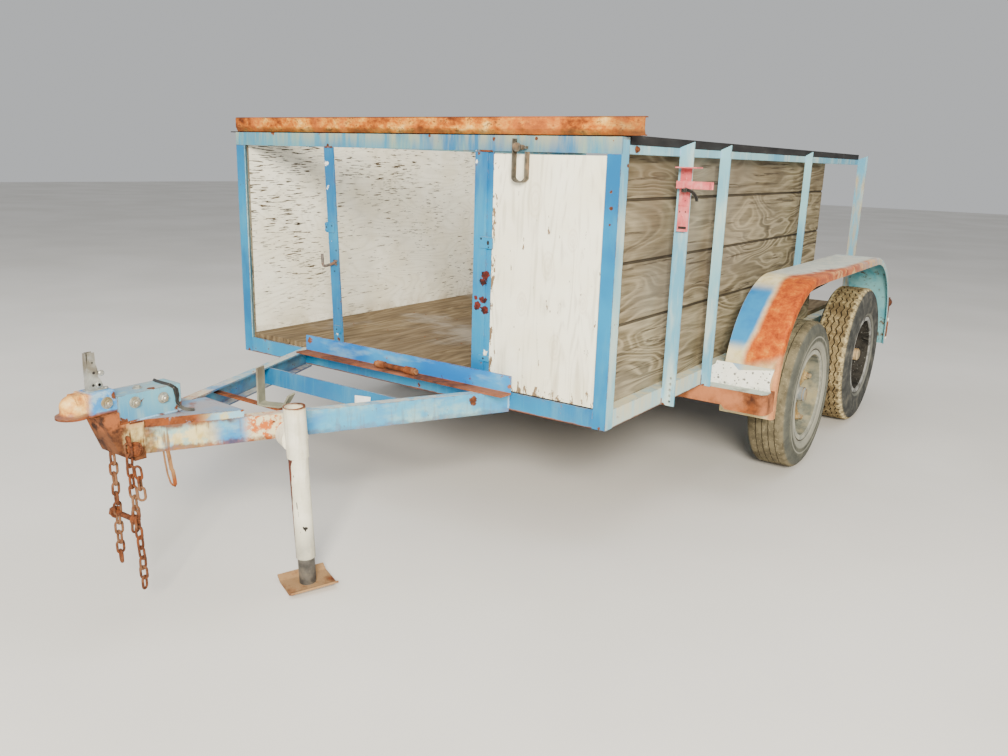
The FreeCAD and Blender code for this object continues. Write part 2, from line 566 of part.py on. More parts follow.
# hangers under a bar that runs below the floor's cross angles, with the rocker between the springs
mid = (D["axle_one"] + D["axle_two"]) / 2
DF, DR = DROP["front"], DROP["rear"]
DM, TILT = (DF + DR) / 2, (DR - DF) / 305.0                 # the rocker tilts between the two springs
sets = []
for side in (1, -1):
    x = side * SX
    tag = "right" if side > 0 else "left"
    parts = [block("hanger_bar_" + tag, (x - 25, S(1030), RL), (x + 25, S(2720), RL + 14))]
    for label, st, low, wide in (("a", D["axle_one"] - 320, 336 + DF, 34), ("b", mid, 374 + DM, 60),
                                 ("c", D["axle_two"] + 320, 336 + DR, 34)):
        for j in (1, -1):
            x0 = x + 24 if j > 0 else x - 29
            parts.append(padded("hanger_%s_%s_%d" % (label, tag, j), [(-wide, RL), (-17, low), (17, low), (wide, RL)], 5,
                                axes((x0, S(st), 0), BACK, UP)))
        parts.append(rod("hanger_pin_%s_%s" % (label, tag), (x - 34, S(st), low + 16), (x + 34, S(st), low + 16), 7))
    rocker = [(-164, 340), (-141, 340), (-24, 376), (24, 376), (141, 340), (164, 340), (164, 364),
              (150, 366), (26, 404), (-26, 404), (-150, 366), (-164, 364)]
    parts.append(padded("rocker_" + tag, [(s, z + DM + s * TILT) for s, z in rocker], 5,
                        axes((x + 24 - 5.2, S(mid), 0), BACK, UP)))
    for j, st, dz in (("a", D["axle_one"] + 320, DF), ("b", D["axle_two"] - 320, DR)):
        parts.append(rod("rocker_pin_%s_%s" % (j, tag), (x - 26, S(st), 352 + dz), (x + 24, S(st), 352 + dz), 7))
    sets.append(fused("hangers_" + tag, parts))
node("spring_hangers", grouped("spring_hangers", sets))

# tyres, and open-centre rims on five-armed hubs with their drums
RR, hw = D["rim_radius"], D["tyre_wide"] / 2


def tyre_path(TR):
    """Half sections of the tyre outside and inside, joined over the crown and at the beads."""
    out = [(RR, 74), (208, 74), (208, 80), (230, 88), (TR - 66, hw), (TR - 34, hw - 3), (TR - 18, hw - 9), (TR - 8, hw - 17),
           (TR, hw - 28)]
    inn = [(TR - 21, 52), (TR - 26, 64), (TR - 38, 75), (TR - 66, 79), (230, 77), (202, 60), (RR, 60)]
    return ([(r, -h) for r, h in out] + [(r, h) for r, h in reversed(out)] + [(r, h) for r, h in reversed(inn)]
            + [(r, -h) for r, h in inn])


barrel_path = [(RR, -74), (RR, 74), (207, 74), (207, 80), (184, 80), (184, 14), (172, 10), (172, -6), (184, -10), (184, -80),
               (207, -80), (207, -74)]
bore = SR + FIT
hub_path = [(bore, -80), (54, -80), (54, -50), (150, -50), (150, -104), (156, -104), (156, -44), (54, -40), (54, 26), (31, 30),
            (31, 62), (25, 68), (0, 68), (0, 14), (bore, 14)]
ARMS = 5
for tag, side in (("right", 1), ("left", -1)):
    for name, st, AZ in AXLES:
        key = "%s_%s" % (name, tag)
        pl = axes((side * WX, S(st), AZ), (0, side, 0), UP)
        node("tyre_" + key, revolved("tyre_" + key, tyre_path(AZ), pl))
        parts = [revolved("barrel_" + key, barrel_path, pl), revolved("hub_" + key, hub_path, pl)]
        for j in range(ARMS):
            a = 360.0 * j / ARMS + (90 if name == "front" else 62)
            turn = pl.multiply(Placement(Vector(0, 0, 0), Rotation(Vector(0, 0, 1), a)))
            parts.append(padded("arm_%s_%d" % (key, j), [(46, -34), (120, -24), (173, -30), (173, 30), (120, 24), (46, 34)], 16,
                                turn.multiply(at(0, 0, -4))))
            parts.append(block("lug_%s_%d" % (key, j), (158, -17, 11.5), (183.8, 17, 24), place=turn))
            parts.append(rod("stud_%s_%d" % (key, j), (164, 0, 11), (164, 0, 42), 8, place=turn))
        node("rim_" + key, fused("rim_" + key, parts))

# ================================================================ fenders
R, Z0, ZT, FS = D["fender_arc"], D["fender_low"], D["fender_top"], D["fender_sheet"]
ya, yb = S(D["fender_front"]), S(D["fender_rear"])
FI, FO = D["fender_inner"], D["fender_inner"] + D["fender_wide"]
q = math.sqrt(0.5)


def arch(inset, low):
    """Closed outline of the arch, inset from its outer skin."""
    zc, r = ZT - R, R - inset
    return [(ya + inset, low), (ya + inset, zc), (ya + R, ZT - inset, ya + R - r * q, zc + r * q), (yb - R, ZT - inset),
            (yb - inset, zc, yb - R + r * q, zc + r * q), (yb - inset, low)]


outer = padded("fender_solid", arch(0, Z0), FO - FI, axes((FI, 0, 0), BACK, UP), expr="dims.fender_wide")
space = padded("fender_space", arch(FS, Z0 - 20), FO - FI - FS + 20, axes((FI - 20, 0, 0), BACK, UP),
               expr="dims.fender_wide - dims.fender_sheet + 20")
doc.recompute()


def round_edge(name, base, x, radius):
    """Round the arch edge that lies wholly in the plane of the given x, feet left out."""
    rows = []
    for i, e in enumerate(base.Shape.Edges, start=1):
        box = e.BoundBox
        if abs(box.XMin - x) < 1e-3 and abs(box.XMax - x) < 1e-3 and not (box.ZMax - box.ZMin < 1e-3 and box.ZMax < 400):
            rows.append((i, radius, radius))
    f = doc.addObject("Part::Fillet", name)
    f.Base = base
    f.Edges = rows
    return f


outer_round = round_edge("fender_outer_round", outer, FO, 13.0)
inner_round = round_edge("fender_inner_round", space, FO - FS, 10.0)
mouth = padded("fender_mouth", arch(D["fender_lip"], Z0 - 20), 40, axes((FO - 30, 0, 0), BACK, UP))
shell = cut("fender_shell", outer_round, inner_round)
fender = cut("fender_right", shell, mouth)
node("fender_right", fender)
node("fender_left", mirrored("fender_left", fender))

# plates that carry the fenders' tops, in the plane of the third post
stay = padded("fender_stay", [(HW + 32, 690), (FI, 690), (FO - 20, 830), (FO - 20, ZT - FS), (HW + 32, ZT - FS)], TH,
              axes((0, S(1870 + TH), 0), RIGHT, UP), expr="dims.steel")
node("fender_stays", grouped("fender_stays", [stay, mirrored("fender_stay_left", stay)]))


# steps: folded channels under the side rails, out to the fenders' ends, deeper on the outer half
def step(name, skirt, fender_end):
    """skirt: station of the long outer face, fender_end: station where it meets the fender."""
    d = 1 if fender_end > skirt else -1
    y = S(skirt)
    ye = S(fender_end)
    r = 30
    top = padded(name + "_top", [(770, y), (FO - r, y), (FO, y + d * r, FO - r + r * q, y + d * (r - r * q)), (FO, ye), (770, ye)], 5,
                 at(0, 0, RL - 5))
    deep = padded(name + "_deep", [(1018, y), (FO - r, y), (FO, y + d * r, FO - r + r * q, y + d * (r - r * q)), (FO, ye), (FO - 5, ye),
                                   (FO - 5, y + d * r), (FO - r, y + d * 5, FO - r + (r - 5) * q, y + d * (r - (r - 5) * q)),
                                   (1018, y + d * 5)], 77, at(0, 0, RL - 82))
    y0, y1 = sorted((y, y + d * 5))
    thin = padded(name + "_thin", [(770, RL - 65), (1002, RL - 65), (1018, RL - 81.8), (1018.1, RL - 4.9), (770, RL - 4.9)], 5,
                  axes((0, y1, 0), RIGHT, UP))
    end0, end1 = sorted((y, ye))
    end = block(name + "_end", (770, end0, RL - 63), (775, end1, RL - 4.9))
    return fused(name, [top, deep, thin, end])


step_front = step("step_front_right", 800, 900)
step_rear = step("step_rear_right", 2965, 2900)
node("fender_steps", grouped("fender_steps", [step_front, step_rear, mirrored("step_front_left", step_front),
                                              mirrored("step_rear_left", step_rear)]))

# pale plates on the steps: standing on the front one, hung on the back of the rear one
torn = [(920, 450), (1176, 450), (1170, 464), (1168, 481), (1170, 502), (1176, 527), (1181, 546), (946, 546), (942, 533), (930, 524),
        (922, 513), (918, 479)]
plate_front = fused("plate_front_right", [
    padded("plate_front_face", torn, 4, axes((0, S(866), 0), RIGHT, UP)),
    padded("plate_front_foot", [(924, S(806)), (1160, S(806)), (1176, S(826)), (1176, S(866)), (920, S(866))], 3, at(0, 0, RL))])
plate_rear = block("plate_rear_right", (960, S(2965), 347), (1176, S(2968), 470))
node("step_plates", grouped("step_plates", [plate_front, plate_rear, mirrored("plate_front_left", plate_front),
                                            mirrored("plate_rear_left", plate_rear)]))

# tail lamps on short uprights at the rear steps
lens_r = (22.0 ** 2 + 3.0 ** 2) / 6.0                      # a ball cap, its centre on the lamp's axis
lens_a = math.asin(22.0 / lens_r) / 2
lamp = fused("lamp_right", [
    block("lamp_upright", (1135, S(2961), RL), (1169, S(2964.9), 592)),
    rod("lamp_body", (1152, S(2964.8), 560), (1152, S(2978), 560), 27),
    revolved("lamp_lens", [(0, 0), (24, 0), (22, 5), (0, 8, lens_r * math.sin(lens_a), 8 - lens_r + lens_r * math.cos(lens_a))], axes((1152, S(2978), 560), RIGHT, DOWN))])
node("tail_lamps", grouped("tail_lamps", [lamp, mirrored("lamp_left", lamp)]))

# ================================================================ checks and files
doc.recompute()
faults = []
for obj in doc.Objects:
    if any(word in obj.State for word in ("Invalid", "Error")):
        faults.append("%s %s" % (obj.Name, obj.State))
for name, obj in NODES:
    shape = obj.Shape
    if shape.isNull() or not shape.isValid() or shape.Volume <= 0:
        faults.append("%s null, invalid or empty" % name)
        continue
    bb = shape.optimalBoundingBox()
    print("%-26s solids %2d  vol %9.1f cm3  x %7.1f %7.1f  y %7.1f %7.1f  z %6.1f %6.1f" % (
        name, len(shape.Solids), shape.Volume / 1000, bb.XMin, bb.XMax, bb.YMin, bb.YMax, bb.ZMin, bb.ZMax))
if len({n for n, _ in NODES}) != len(NODES):
    faults.append("a node name is used twice")
if faults:
    raise RuntimeError("; ".join(faults))
for name, obj in NODES:
    obj.Shape.exportStep("parts/%s.step" % name)
print(len(NODES), "nodes written")
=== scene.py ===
import math
import random

import bmesh
import bpy
from mathutils import Matrix, Vector, noise as mnoise


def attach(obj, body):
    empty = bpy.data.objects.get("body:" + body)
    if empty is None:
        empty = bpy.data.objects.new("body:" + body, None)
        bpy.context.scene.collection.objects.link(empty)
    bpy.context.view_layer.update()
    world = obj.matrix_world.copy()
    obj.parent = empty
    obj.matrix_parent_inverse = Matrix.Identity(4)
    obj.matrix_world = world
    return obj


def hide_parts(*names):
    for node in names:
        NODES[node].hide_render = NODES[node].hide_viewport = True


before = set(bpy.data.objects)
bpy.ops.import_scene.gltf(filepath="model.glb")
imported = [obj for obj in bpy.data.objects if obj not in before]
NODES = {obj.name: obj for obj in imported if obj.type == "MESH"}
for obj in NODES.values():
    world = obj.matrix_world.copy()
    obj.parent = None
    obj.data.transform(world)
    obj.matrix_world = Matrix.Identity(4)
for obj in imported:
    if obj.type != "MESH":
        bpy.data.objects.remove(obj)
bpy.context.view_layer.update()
rnd = random.Random(7)

F0 = -0.836                      # Y of the box's front face


def S(station_mm):
    return F0 + station_mm / 1000.0


# ------------------------------------------------------------------ camera
yaw, pitch, roll = 0.6085, 0.251, 0.0302
eye = Vector((2.1683, -3.2299, 1.3096))
fwd = Vector((-math.sin(yaw) * math.cos(pitch), math.cos(yaw) * math.cos(pitch), -math.sin(pitch)))
right0 = Vector((math.cos(yaw), math.sin(yaw), 0.0))
up0 = right0.cross(fwd)
cam_right = math.cos(roll) * right0 + math.sin(roll) * up0
cam_up = -math.sin(roll) * right0 + math.cos(roll) * up0
rot = Matrix((cam_right, cam_up, -fwd)).transposed()
cam_data = bpy.data.cameras.new("camera")
cam_data.sensor_width = 36.0
cam_data.sensor_fit = "HORIZONTAL"
cam_data.lens = 854.49 / 1008.0 * 36.0
cam_data.clip_start = 0.05
cam_data.clip_end = 200.0
cam = bpy.data.objects.new("camera", cam_data)
cam.matrix_world = Matrix.Translation(eye) @ rot.to_4x4()
bpy.context.scene.collection.objects.link(cam)
bpy.context.scene.camera = cam

# ------------------------------------------------------------------ node building


def srgb(r, g, b):
    def f(v):
        v /= 255.0
        return v / 12.92 if v <= 0.04045 else ((v + 0.055) / 1.055) ** 2.4
    return (f(r), f(g), f(b), 1.0)


class Mat:
    """Small helper round one material's node tree."""

    def __init__(self, name):
        self.m = bpy.data.materials.new(name)
        self.m.use_nodes = True
        self.t = self.m.node_tree
        self.t.nodes.clear()
        self.out = self.t.nodes.new("ShaderNodeOutputMaterial")
        self.b = self.t.nodes.new("ShaderNodeBsdfPrincipled")
        self.t.links.new(self.b.outputs[0], self.out.inputs[0])
        tc = self.t.nodes.new("ShaderNodeTexCoord")
        self.co = tc.outputs["Object"]
        sep = self.t.nodes.new("ShaderNodeSeparateXYZ")
        self.t.links.new(self.co, sep.inputs[0])
        self.x, self.y, self.z = sep.outputs
        self._normal = None

    def put(self, sock, v):
        if isinstance(v, bpy.types.NodeSocket):
            self.t.links.new(v, sock)
        elif v is not None:
            sock.default_value = v

    def normal(self):
        if self._normal is None:
            g = self.t.nodes.new("ShaderNodeNewGeometry")
            s = self.t.nodes.new("ShaderNodeSeparateXYZ")
            tr = self.t.nodes.new("ShaderNodeVectorTransform")
            tr.vector_type, tr.convert_from, tr.convert_to = "NORMAL", "WORLD", "OBJECT"
            self.t.links.new(g.outputs["Normal"], tr.inputs[0])
            self.t.links.new(tr.outputs[0], s.inputs[0])
            self._normal = s.outputs
            self.geo = g
        return self._normal

    def vec(self, scale=(1, 1, 1), loc=(0, 0, 0), rot=(0, 0, 0), src=None):
        n = self.t.nodes.new("ShaderNodeMapping")
        self.put(n.inputs[0], src if src is not None else self.co)
        n.inputs["Location"].default_value = loc
        n.inputs["Rotation"].default_value = rot
        n.inputs["Scale"].default_value = scale
        return n.outputs[0]

    def noise(self, scale, detail=4.0, rough=0.55, dist=0.0, vec=None, color=False):
        n = self.t.nodes.new("ShaderNodeTexNoise")
        self.put(n.inputs["Vector"], vec if vec is not None else self.co)
        n.inputs["Scale"].default_value = scale
        n.inputs["Detail"].default_value = detail
        n.inputs["Roughness"].default_value = rough
        n.inputs["Distortion"].default_value = dist
        return n.outputs[1] if color else n.outputs[0]

    def voro(self, scale, vec=None, feature="F1", out=0, rand=1.0):
        n = self.t.nodes.new("ShaderNodeTexVoronoi")
        n.feature = feature
        self.put(n.inputs["Vector"], vec if vec is not None else self.co)
        n.inputs["Scale"].default_value = scale
        if "Randomness" in n.inputs:
            n.inputs["Randomness"].default_value = rand
        return n.outputs[out]

    def math(self, op, a, b=None, c=None, clamp=False):
        n = self.t.nodes.new("ShaderNodeMath")
        n.operation = op
        n.use_clamp = clamp
        self.put(n.inputs[0], a)
        self.put(n.inputs[1], b)
        self.put(n.inputs[2], c)
        return n.outputs[0]

    def step(self, v, lo, hi, a=0.0, b=1.0, smooth=True):
        n = self.t.nodes.new("ShaderNodeMapRange")
        n.interpolation_type = "SMOOTHSTEP" if smooth else "LINEAR"
        self.put(n.inputs[0], v)
        self.put(n.inputs[1], lo)
        self.put(n.inputs[2], hi)
        self.put(n.inputs[3], a)
        self.put(n.inputs[4], b)
        return n.outputs[0]

    def ramp(self, fac, stops):
        n = self.t.nodes.new("ShaderNodeValToRGB")
        self.put(n.inputs[0], fac)
        e = n.color_ramp.elements
        e[0].position, e[0].color = stops[0]
        e[1].position, e[1].color = stops[-1]
        for pos, col in stops[1:-1]:
            k = e.new(pos)
            k.color = col
        return n.outputs[0]

    def mix(self, fac, a, b, mode="MIX"):
        n = self.t.nodes.new("ShaderNodeMix")
        n.data_type = "RGBA"
        n.blend_type = mode
        n.clamp_factor = True
        self.put(n.inputs[0], fac)
        self.put(n.inputs[6], a)
        self.put(n.inputs[7], b)
        return n.outputs[2]

    def add_vec(self, a, b, op="ADD"):
        n = self.t.nodes.new("ShaderNodeVectorMath")
        n.operation = op
        self.put(n.inputs[0], a)
        if op == "SCALE":
            self.put(n.inputs["Scale"], b)
        else:
            self.put(n.inputs[1], b)
        return n.outputs[0]

    def warp(self, scale, amount, vec=None):
        """Coordinates pushed about by a noise colour."""
        src = vec if vec is not None else self.co
        col = self.noise(scale, 2.0, 0.5, color=True, vec=src)
        return self.add_vec(src, self.add_vec(self.add_vec(col, (-0.5, -0.5, -0.5)), amount, "SCALE"))

    def edge(self, radius=0.004, gain=1.0):
        """1 near outer and inner corners, 0 on flats."""
        bv = self.t.nodes.new("ShaderNodeBevel")
        bv.samples = 4
        bv.inputs["Radius"].default_value = radius
        g = self.t.nodes.new("ShaderNodeNewGeometry")
        d = self.t.nodes.new("ShaderNodeVectorMath")
        d.operation = "DOT_PRODUCT"
        self.t.links.new(bv.outputs[0], d.inputs[0])
        self.t.links.new(g.outputs["Normal"], d.inputs[1])
        return self.math("MULTIPLY", self.step(d.outputs["Value"], 0.995, 0.80), gain, clamp=True)

    def blobs(self, rows):
        """Sum of soft balls: rows of (x, y, z, radius) in metres."""
        total = None
        for x, y, z, r in rows:
            n = self.t.nodes.new("ShaderNodeVectorMath")
            n.operation = "DISTANCE"
            self.put(n.inputs[0], self.co)
            n.inputs[1].default_value = (x, y, z)
            v = self.step(n.outputs["Value"], r, r * 0.15)
            total = v if total is None else self.math("MAXIMUM", total, v)
        return total

    def bump(self, height, strength=0.3, distance=0.002, normal=None):
        n = self.t.nodes.new("ShaderNodeBump")
        n.inputs["Strength"].default_value = strength
        n.inputs["Distance"].default_value = distance
        self.put(n.inputs["Height"], height)
        if normal is not None:
            self.t.links.new(normal, n.inputs["Normal"])
        return n.outputs[0]

    def done(self, color, rough, normal=None, metallic=None, spec=None, coat=None):
        self.put(self.b.inputs["Base Color"], color)
        self.put(self.b.inputs["Roughness"], rough)
        if normal is not None:
            self.put(self.b.inputs["Normal"], normal)
        if metallic is not None:
            self.put(self.b.inputs["Metallic"], metallic)
        if spec is not None:
            self.b.inputs["Specular IOR Level"].default_value = spec
        if coat is not None:
            self.b.inputs["Coat Weight"].default_value = coat
            self.b.inputs["Coat Roughness"].default_value = 0.25
        return self.m


def rust_color(m, scale=1.0, bright=0.5):
    """Rust with dark pits, brown body and orange bloom."""
    a = m.noise(38 * scale, 6.0, 0.65)
    b = m.noise(9 * scale, 4.0, 0.6)
    base = m.ramp(a, [(0.25, srgb(34, 20, 14)), (0.45, srgb(80, 42, 24)), (0.62, srgb(118, 66, 36)), (0.8, srgb(162, 104, 60))])
    bloom = m.mix(m.step(b, 0.45, 0.7), base, srgb(140, 72, 30))
    dark = m.mix(m.step(m.noise(16 * scale, 5.0, 0.6, vec=m.vec(loc=(3, 7, 1))), 0.58, 0.72), bloom, srgb(50, 32, 24))
    return m.mix(bright, srgb(78, 46, 30), dark)


def rust_mask(m, amount=0.5, edge=0.004, blobs=None, low=None, spots=0.5):
    """Where paint has gone: worn corners, freckles and named sore places."""
    n = m.noise(22, 6.0, 0.62)
    fine = m.noise(95, 4.0, 0.6)
    e = m.edge(edge)
    worn = m.math("MULTIPLY", e, m.step(n, 0.62 - 0.22 * amount, 0.72 - 0.18 * amount))
    fr = m.step(m.math("ADD", m.math("MULTIPLY", n, 0.6), m.math("MULTIPLY", fine, 0.4)), 0.665 - 0.07 * spots, 0.70 - 0.07 * spots)
    mask = m.math("MAXIMUM", worn, fr)
    if blobs:
        bl = m.blobs(blobs)
        rag = m.math("ADD", m.math("MULTIPLY", m.math("SUBTRACT", n, 0.5), 2.2), m.math("MULTIPLY", m.math("SUBTRACT", fine, 0.5), 1.2))
        bm = m.step(m.math("ADD", m.math("MULTIPLY", bl, 0.9), rag), 0.55, 0.68)
        mask = m.math("MAXIMUM", mask, m.math("MULTIPLY", bm, m.step(bl, 0.02, 0.2)))
    if low:
        z0, z1 = low
        lo = m.step(m.z, z1, z0)
        lm = m.step(m.math("ADD", lo, m.math("MULTIPLY", m.math("SUBTRACT", n, 0.5), 1.6)), 0.55, 0.75)
        mask = m.math("MAXIMUM", mask, m.math("MULTIPLY", lm, lo))
    return mask, n, fine


def paint(name, a, b, chalk, amount=0.5, edge=0.004, blobs=None, low=None, spots=0.5, streak=0.4, top_dust=0.5, rough=0.5,
          chips=None, maroon=None, wash=None):
    """Old brushed paint: two close shades, chalky runs, worn corners showing rust."""
    m = Mat(name)
    big = m.noise(2.6, 3.0, 0.5)
    cloud = m.noise(11, 4.0, 0.6, vec=m.vec((1.0, 1.0, 0.22)))
    base = m.mix(m.step(big, 0.36, 0.64), a, b)
    base = m.mix(m.math("MULTIPLY", m.step(cloud, 0.48, 0.72), streak), base, chalk)
    brush = m.noise(120, 3.0, 0.5, vec=m.vec((1.0, 1.0, 0.05)))
    base = m.mix(m.math("MULTIPLY", m.step(brush, 0.55, 0.75), 0.25), base, chalk)
    nx, ny, nz = m.normal()
    dust = m.math("MULTIPLY", m.step(nz, 0.6, 0.95), m.step(m.noise(14, 5.0, 0.6), 0.35, 0.65, 0.35, 1.0))
    base = m.mix(m.math("MULTIPLY", dust, top_dust), base, srgb(168, 164, 150))
    mask, n, fine = rust_mask(m, amount, edge, blobs, low, spots)
    halo = m.step(m.math("ADD", mask, m.math("MULTIPLY", n, 0.2)), 0.05, 0.5)
    base = m.mix(m.math("MULTIPLY", halo, 0.35), base, srgb(196, 176, 146))
    if wash is not None:                                      # ochre stain run down a height band
        z0, z1, tone = wash
        band = m.math("MULTIPLY", m.step(m.z, z0, z0 + 0.12), m.step(m.z, z1, z1 - 0.05))
        run = m.step(m.noise(24, 5.0, 0.6, vec=m.vec((1.0, 1.0, 0.14), (4, 2, 1))), 0.36, 0.60)
        base = m.mix(m.math("MULTIPLY", m.math("MULTIPLY", band, run), 0.75), base, tone)
    if chips:                                                 # flaked to the white ground coat
        cb = m.blobs(chips)
        cm = m.step(m.math("ADD", cb, m.math("ADD", m.math("MULTIPLY", m.math("SUBTRACT", m.noise(60, 5.0, 0.65), 0.5), 3.2), 0.0)), 0.86, 0.95)
        base = m.mix(m.math("MULTIPLY", cm, m.step(cb, 0.02, 0.2)), base, srgb(232, 230, 220))
    col = m.mix(mask, base, rust_color(m))
    if maroon:                                                # deep red-brown torn patches
        mb = m.blobs(maroon)
        mm = m.step(m.math("ADD", mb, m.math("ADD", m.math("MULTIPLY", m.math("SUBTRACT", n, 0.5), 1.7), m.math("MULTIPLY", m.math("SUBTRACT", fine, 0.5), 1.3))), 0.36, 0.43)
        tone = m.mix(m.step(m.noise(45, 5.0, 0.6), 0.42, 0.6), srgb(44, 16, 14), srgb(98, 34, 26))
        mm = m.math("MULTIPLY", mm, m.step(mb, 0.02, 0.2))
        col = m.mix(mm, col, tone)
        mask = m.math("MAXIMUM", mask, mm)
    h = m.math("ADD", m.math("MULTIPLY", mask, m.math("ADD", m.math("MULTIPLY", fine, 1.2), -0.9)), m.math("MULTIPLY", m.noise(240, 2.0, 0.5), 0.10))
    return m.done(col, m.step(mask, 0.0, 1.0, rough, 0.92), m.bump(h, 0.45, 0.0016), spec=0.35)


def rusty(name, bright=0.75, scale=1.0, tint=None, tint_at=(0.6, 0.75), blue=None, blue_at=(0.62, 0.7)):
    m = Mat(name)
    col = rust_color(m, scale, bright)
    if tint is not None:
        col = m.mix(m.step(m.noise(6 * scale, 5.0, 0.6, vec=m.vec(loc=(2, 1, 5))), *tint_at), col, tint)
    if blue is not None:
        col = m.mix(m.step(m.noise(8 * scale, 5.0, 0.62, vec=m.vec(loc=(7, 1, 2))), *blue_at), col, blue)
    e = m.edge(0.003)
    col = m.mix(m.math("MULTIPLY", e, 0.35), col, srgb(150, 104, 74))
    h = m.math("ADD", m.noise(60 * scale, 8.0, 0.7), m.math("MULTIPLY", m.voro(120 * scale), 0.5))
    return m.done(col, 0.9, m.bump(h, 0.55, 0.003), spec=0.25)


# ------------------------------------------------------------------ frame paint
BLUE_A, BLUE_B, CHALK = srgb(0, 98, 152), srgb(6, 128, 176), srgb(84, 160, 182)
PALE_A, PALE_B, PCHALK = srgb(92, 160, 190), srgb(142, 192, 202), srgb(204, 214, 198)
corner_blobs = [(0.862, S(3), 1.336, 0.012), (0.872, S(3), 1.345, 0.010), (-0.866, S(3), 1.337, 0.010), (0.886, S(3), 0.455, 0.014),
                (-0.886, S(3), 0.455, 0.014)]
M = {}
M["blue_front"] = paint("blue_front", BLUE_A, BLUE_B, CHALK, amount=0.6, edge=0.0035, spots=0.45, streak=0.30,
                        blobs=[(-0.36, S(14), 1.330, 0.014), (-0.37, S(14), 1.03, 0.012), (-0.36, S(30), 0.575, 0.02), (-0.36, S(22), 0.895, 0.010),
                               (0.37, S(3), 1.329, 0.018), (0.40, S(3), 0.60, 0.016), (0.38, S(3), 1.03, 0.010)],
                        chips=[(-0.375, S(4), 1.27, 0.034), (-0.372, S(8), 1.18, 0.018), (-0.37, S(30), 0.60, 0.036), (0.41, S(6), 0.64, 0.024),
                               (-0.372, S(10), 0.97, 0.014), (0.36, S(3), 1.30, 0.016)],
                        maroon=[(0.404, S(6), 0.914, 0.026), (0.398, S(6), 0.888, 0.028), (0.377, S(3), 0.802, 0.026), (0.398, S(6), 0.828, 0.024),
                                (0.404, S(6), 0.792, 0.026), (0.368, S(3), 0.832, 0.014)])
M["blue_rail"] = paint("blue_rail", BLUE_A, BLUE_B, CHALK, amount=0.7, edge=0.004,
                       blobs=[(0.885, S(3), 0.455, 0.016), (0.5, S(0), 0.515, 0.016), (-0.5, S(0), 0.515, 0.014), (0.1, S(0), 0.513, 0.014)],
                       spots=0.5, streak=0.4, low=(0.450, 0.462))
M["blue_top"] = paint("blue_top", srgb(12, 102, 150), srgb(58, 138, 166), srgb(126, 156, 136), amount=0.55, edge=0.003,
                      blobs=[(-0.68, S(0), 1.380, 0.020), (0.43, S(0), 1.372, 0.014), (0.60, S(0), 1.375, 0.010),
                             (0.880, S(3), 1.372, 0.010), (-0.36, S(0), 1.340, 0.012), (0.15, S(0), 1.380, 0.012)],
                      spots=0.45, streak=0.75, wash=(1.30, 1.44, srgb(176, 166, 122)))
M["pale"] = paint("pale", PALE_A, PALE_B, PCHALK, amount=0.5, edge=0.003, spots=0.35, streak=0.8, top_dust=0.6, rough=0.6,
                  blobs=[(0.92, S(430), 0.452, 0.014), (0.92, S(800), 0.452, 0.014)])
M["pale_rear"] = paint("pale_rear", PALE_A, PALE_B, PCHALK, amount=0.5, edge=0.003, spots=0.4, streak=0.7, top_dust=0.6, rough=0.62,
                       wash=(0.55, 1.30, srgb(188, 158, 104)))
M["pale_rail"] = paint("pale_rail", srgb(150, 190, 200), srgb(180, 206, 202), srgb(208, 210, 188), amount=0.6, edge=0.0035, spots=0.45,
                       streak=0.8, top_dust=0.7, rough=0.62, low=(0.450, 0.460), wash=(0.40, 0.60, srgb(214, 200, 158)))


def front_post_paint():
    """The corner posts: strong blue in front, chalky on the side."""
    m = Mat("corner_paint")
    nx, ny, nz = m.normal()
    side = m.step(m.math("ABSOLUTE", nx), 0.5, 0.8)
    big = m.noise(3.0, 3.0, 0.5)
    cloud = m.noise(10, 4.0, 0.6, vec=m.vec((1, 1, 0.2)))
    blue = m.mix(m.step(big, 0.35, 0.65), BLUE_A, BLUE_B)
    blue = m.mix(m.math("MULTIPLY", m.step(cloud, 0.48, 0.72), 0.5), blue, CHALK)
    pale = m.mix(m.step(big, 0.35, 0.65), PALE_A, PALE_B)
    pale = m.mix(m.math("MULTIPLY", m.step(cloud, 0.42, 0.68), 0.8), pale, PCHALK)
    base = m.mix(side, blue, pale)
    mask, n, fine = rust_mask(m, 0.85, 0.005, corner_blobs + [(0.882, S(0), 1.22, 0.010), (0.886, S(0), 1.17, 0.012), (0.884, S(0), 1.12, 0.008), (0.911, S(46), 1.30, 0.012)], None, 0.5)
    base = m.mix(m.math("MULTIPLY", m.step(mask, 0.0, 0.5), 0.3), base, srgb(196, 176, 146))
    col = m.mix(mask, base, rust_color(m))
    h = m.math("ADD", m.math("MULTIPLY", mask, m.math("ADD", m.math("MULTIPLY", fine, 1.2), -0.9)), m.math("MULTIPLY", m.noise(240, 2.0, 0.5), 0.10))
    return m.done(col, m.step(mask, 0.0, 1.0, 0.5, 0.92), m.bump(h, 0.45, 0.0016), spec=0.35)


M["corner"] = front_post_paint()


